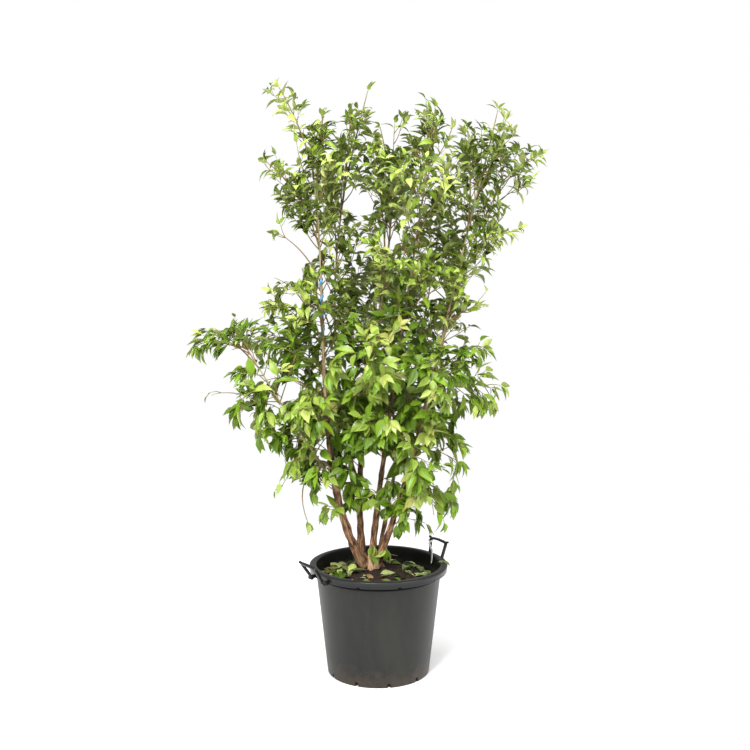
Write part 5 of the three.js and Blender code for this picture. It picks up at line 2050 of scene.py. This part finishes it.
    def build(self, finish: Material) -> None:
        """Builds the bed, the crumbs and the fallen leaves.

        Args:
            finish: the compost.
        """
        self.bed(finish)
        self.crumb_piece(finish)
        self.fallen_leaves()


@dataclass
class Studio:
    """A plain pale floor, soft light from above and in front, and the camera at the photograph's angle."""

    camera_place: Triple = CAMERA_PLACE
    pitch: float = 6.114
    pan: float = 0.188
    lens: float = 51.97
    sky: float = 1.0
    ambient: float = 0.45
    fade: Pair = (0.6, 2.6)
    floor_radius: float = 30.0
    floor_drop: float = 0.0005
    # The lamps' places, sides and watts, and the middle of the plant, which they face
    lamps: tuple[tuple[str, Triple, float, float], ...] = (
        ("overhead", (0.0, -0.6, 6.4), 4.0, 480.0),
        ("key", (-1.8, -4.6, 5.2), 1.8, 540.0),
        ("fill", (4.2, -3.4, 3.6), 2.4, 189.0),
    )
    lit: Triple = (0.0, 0.0, 1.1)

    def camera(self) -> None:
        """Makes the camera."""
        data = bpy.data.cameras.new("camera")
        data.lens, data.sensor_width = self.lens, 36.0
        camera = new_object("camera", data)
        camera.location = self.camera_place
        camera.rotation_euler = (math.radians(90 - self.pitch), 0.0, math.radians(self.pan))
        bpy.context.scene.camera = camera

    def paper(self) -> Material:
        """Matt white paper that glows as white as the sky from a few metres away, so that no edge shows.

        Returns:
            The paper.
        """
        paper, add, shader = new_material("matt_paper", {"Base Color": linear("#fafafa"), "Roughness": 0.95})
        near, far = self.fade
        radius = add("VectorMath", {"operation": "LENGTH", 0: add("TexCoord", out="Object")}, "Value")
        fade = {"interpolation_type": "SMOOTHSTEP", "Value": radius, "From Min": near, "From Max": far}
        glow = add("Emission", {"Color": linear("#ffffff"), "Strength": self.sky})
        both = add("MixShader", {0: add("MapRange", fade), 1: shader.outputs[0], 2: glow})
        feed(paper.node_tree.nodes["Material Output"], {"Surface": both})
        return paper

    def floor(self) -> None:
        """Makes the floor, a wide disc of matt white paper."""
        points = circling(self.floor_radius, ring_angles(64), -self.floor_drop)
        mesh = bpy.data.meshes.new("floor")
        mesh.from_pydata(points.tolist(), [], [list(range(len(points)))])
        mesh.materials.append(self.paper())
        new_object("floor", mesh)

    def lamp(self, name: str, place: Triple, size: float, power: float) -> None:
        """Makes a square soft lamp that faces the middle of the plant.

        Args:
            name: its name.
            place: where it stands, in metres.
            size: its side.
            power: its watts.
        """
        data = bpy.data.lights.new(name, "AREA")
        data.size, data.energy = size, power
        lamp = new_object(name, data)
        lamp.location = place
        x, y, z = np.array(self.lit) - place
        lamp.rotation_euler = (math.atan2(math.hypot(x, y), -z), 0.0, math.atan2(y, x) - math.pi / 2)

    def build(self) -> None:
        """Makes the camera, floor, sky and lamps."""
        self.camera()
        self.floor()
        world = bpy.data.worlds.new("pale_studio")
        world.use_nodes = True
        tree = world.node_tree
        back = tree.nodes["Background"]
        back.inputs["Color"].default_value = linear("#ffffff")
        seen = add_node(tree, "LightPath", out="Is Camera Ray")
        glow = add_node(tree, "MapRange", {"Value": seen, "To Min": self.ambient, "To Max": self.sky})
        feed(back, {"Strength": glow})
        bpy.context.scene.world = world
        bpy.context.scene.view_settings.view_transform = "Standard"
        for name, place, size, power in self.lamps:
            self.lamp(name, place, size, power)


def main() -> None:
    """Builds the studio, the pot with its compost and handles, the wood and the crown."""
    logging.basicConfig(level=logging.INFO, format="%(message)s")
    Studio().build()
    # Finishes without the painted highlight on the lip's top
    without_lip_highlight = partial(MouldedPolypropylene, rubbed_from=1.0)
    wall = MouldedPolypropylene()
    # The lip's painted shadow: near-black plastic with little gloss, for the band under the lip
    painted_shadow = without_lip_highlight("moulded_polypropylene_grimy", "#080808", "#12120f", gleam=0.05)
    inside = without_lip_highlight("moulded_polypropylene_inside", "#1c1c1a", "#3d3c36")
    hoops = without_lip_highlight("moulded_polypropylene_handles", "#191a1b", "#2e2e2c").material()
    bark = Bark().material()
    peeled = Bark("peeled_bark", "#5a4030", "#b98f6a", "#dcbd98", "#b8a083").material()
    pot = Pot()
    pot.shell([finish.material() for finish in (wall, painted_shadow, inside)])
    right = Handle("handle_right", azimuth=pot.handle_azimuths[0], lean=12, pot=pot)
    left = Handle("handle_left", azimuth=pot.handle_azimuths[1], lean=33, pot=pot)
    for handle in (right, left):
        handle.build(hoops)
    ties = Ties(right, LIMBS[0])
    ties.tape(BLUE_TAPE.material())
    ties.strap(WHITE_STRAP.material())
    CompostBed(pot).build(POTTING_COMPOST.material())
    Stool().build(bark, peeled, CutWood().material())
    Wood().build(bark)
    Crown().build(YOUNG_BARK.material())


if __name__ == "__main__":
    main()
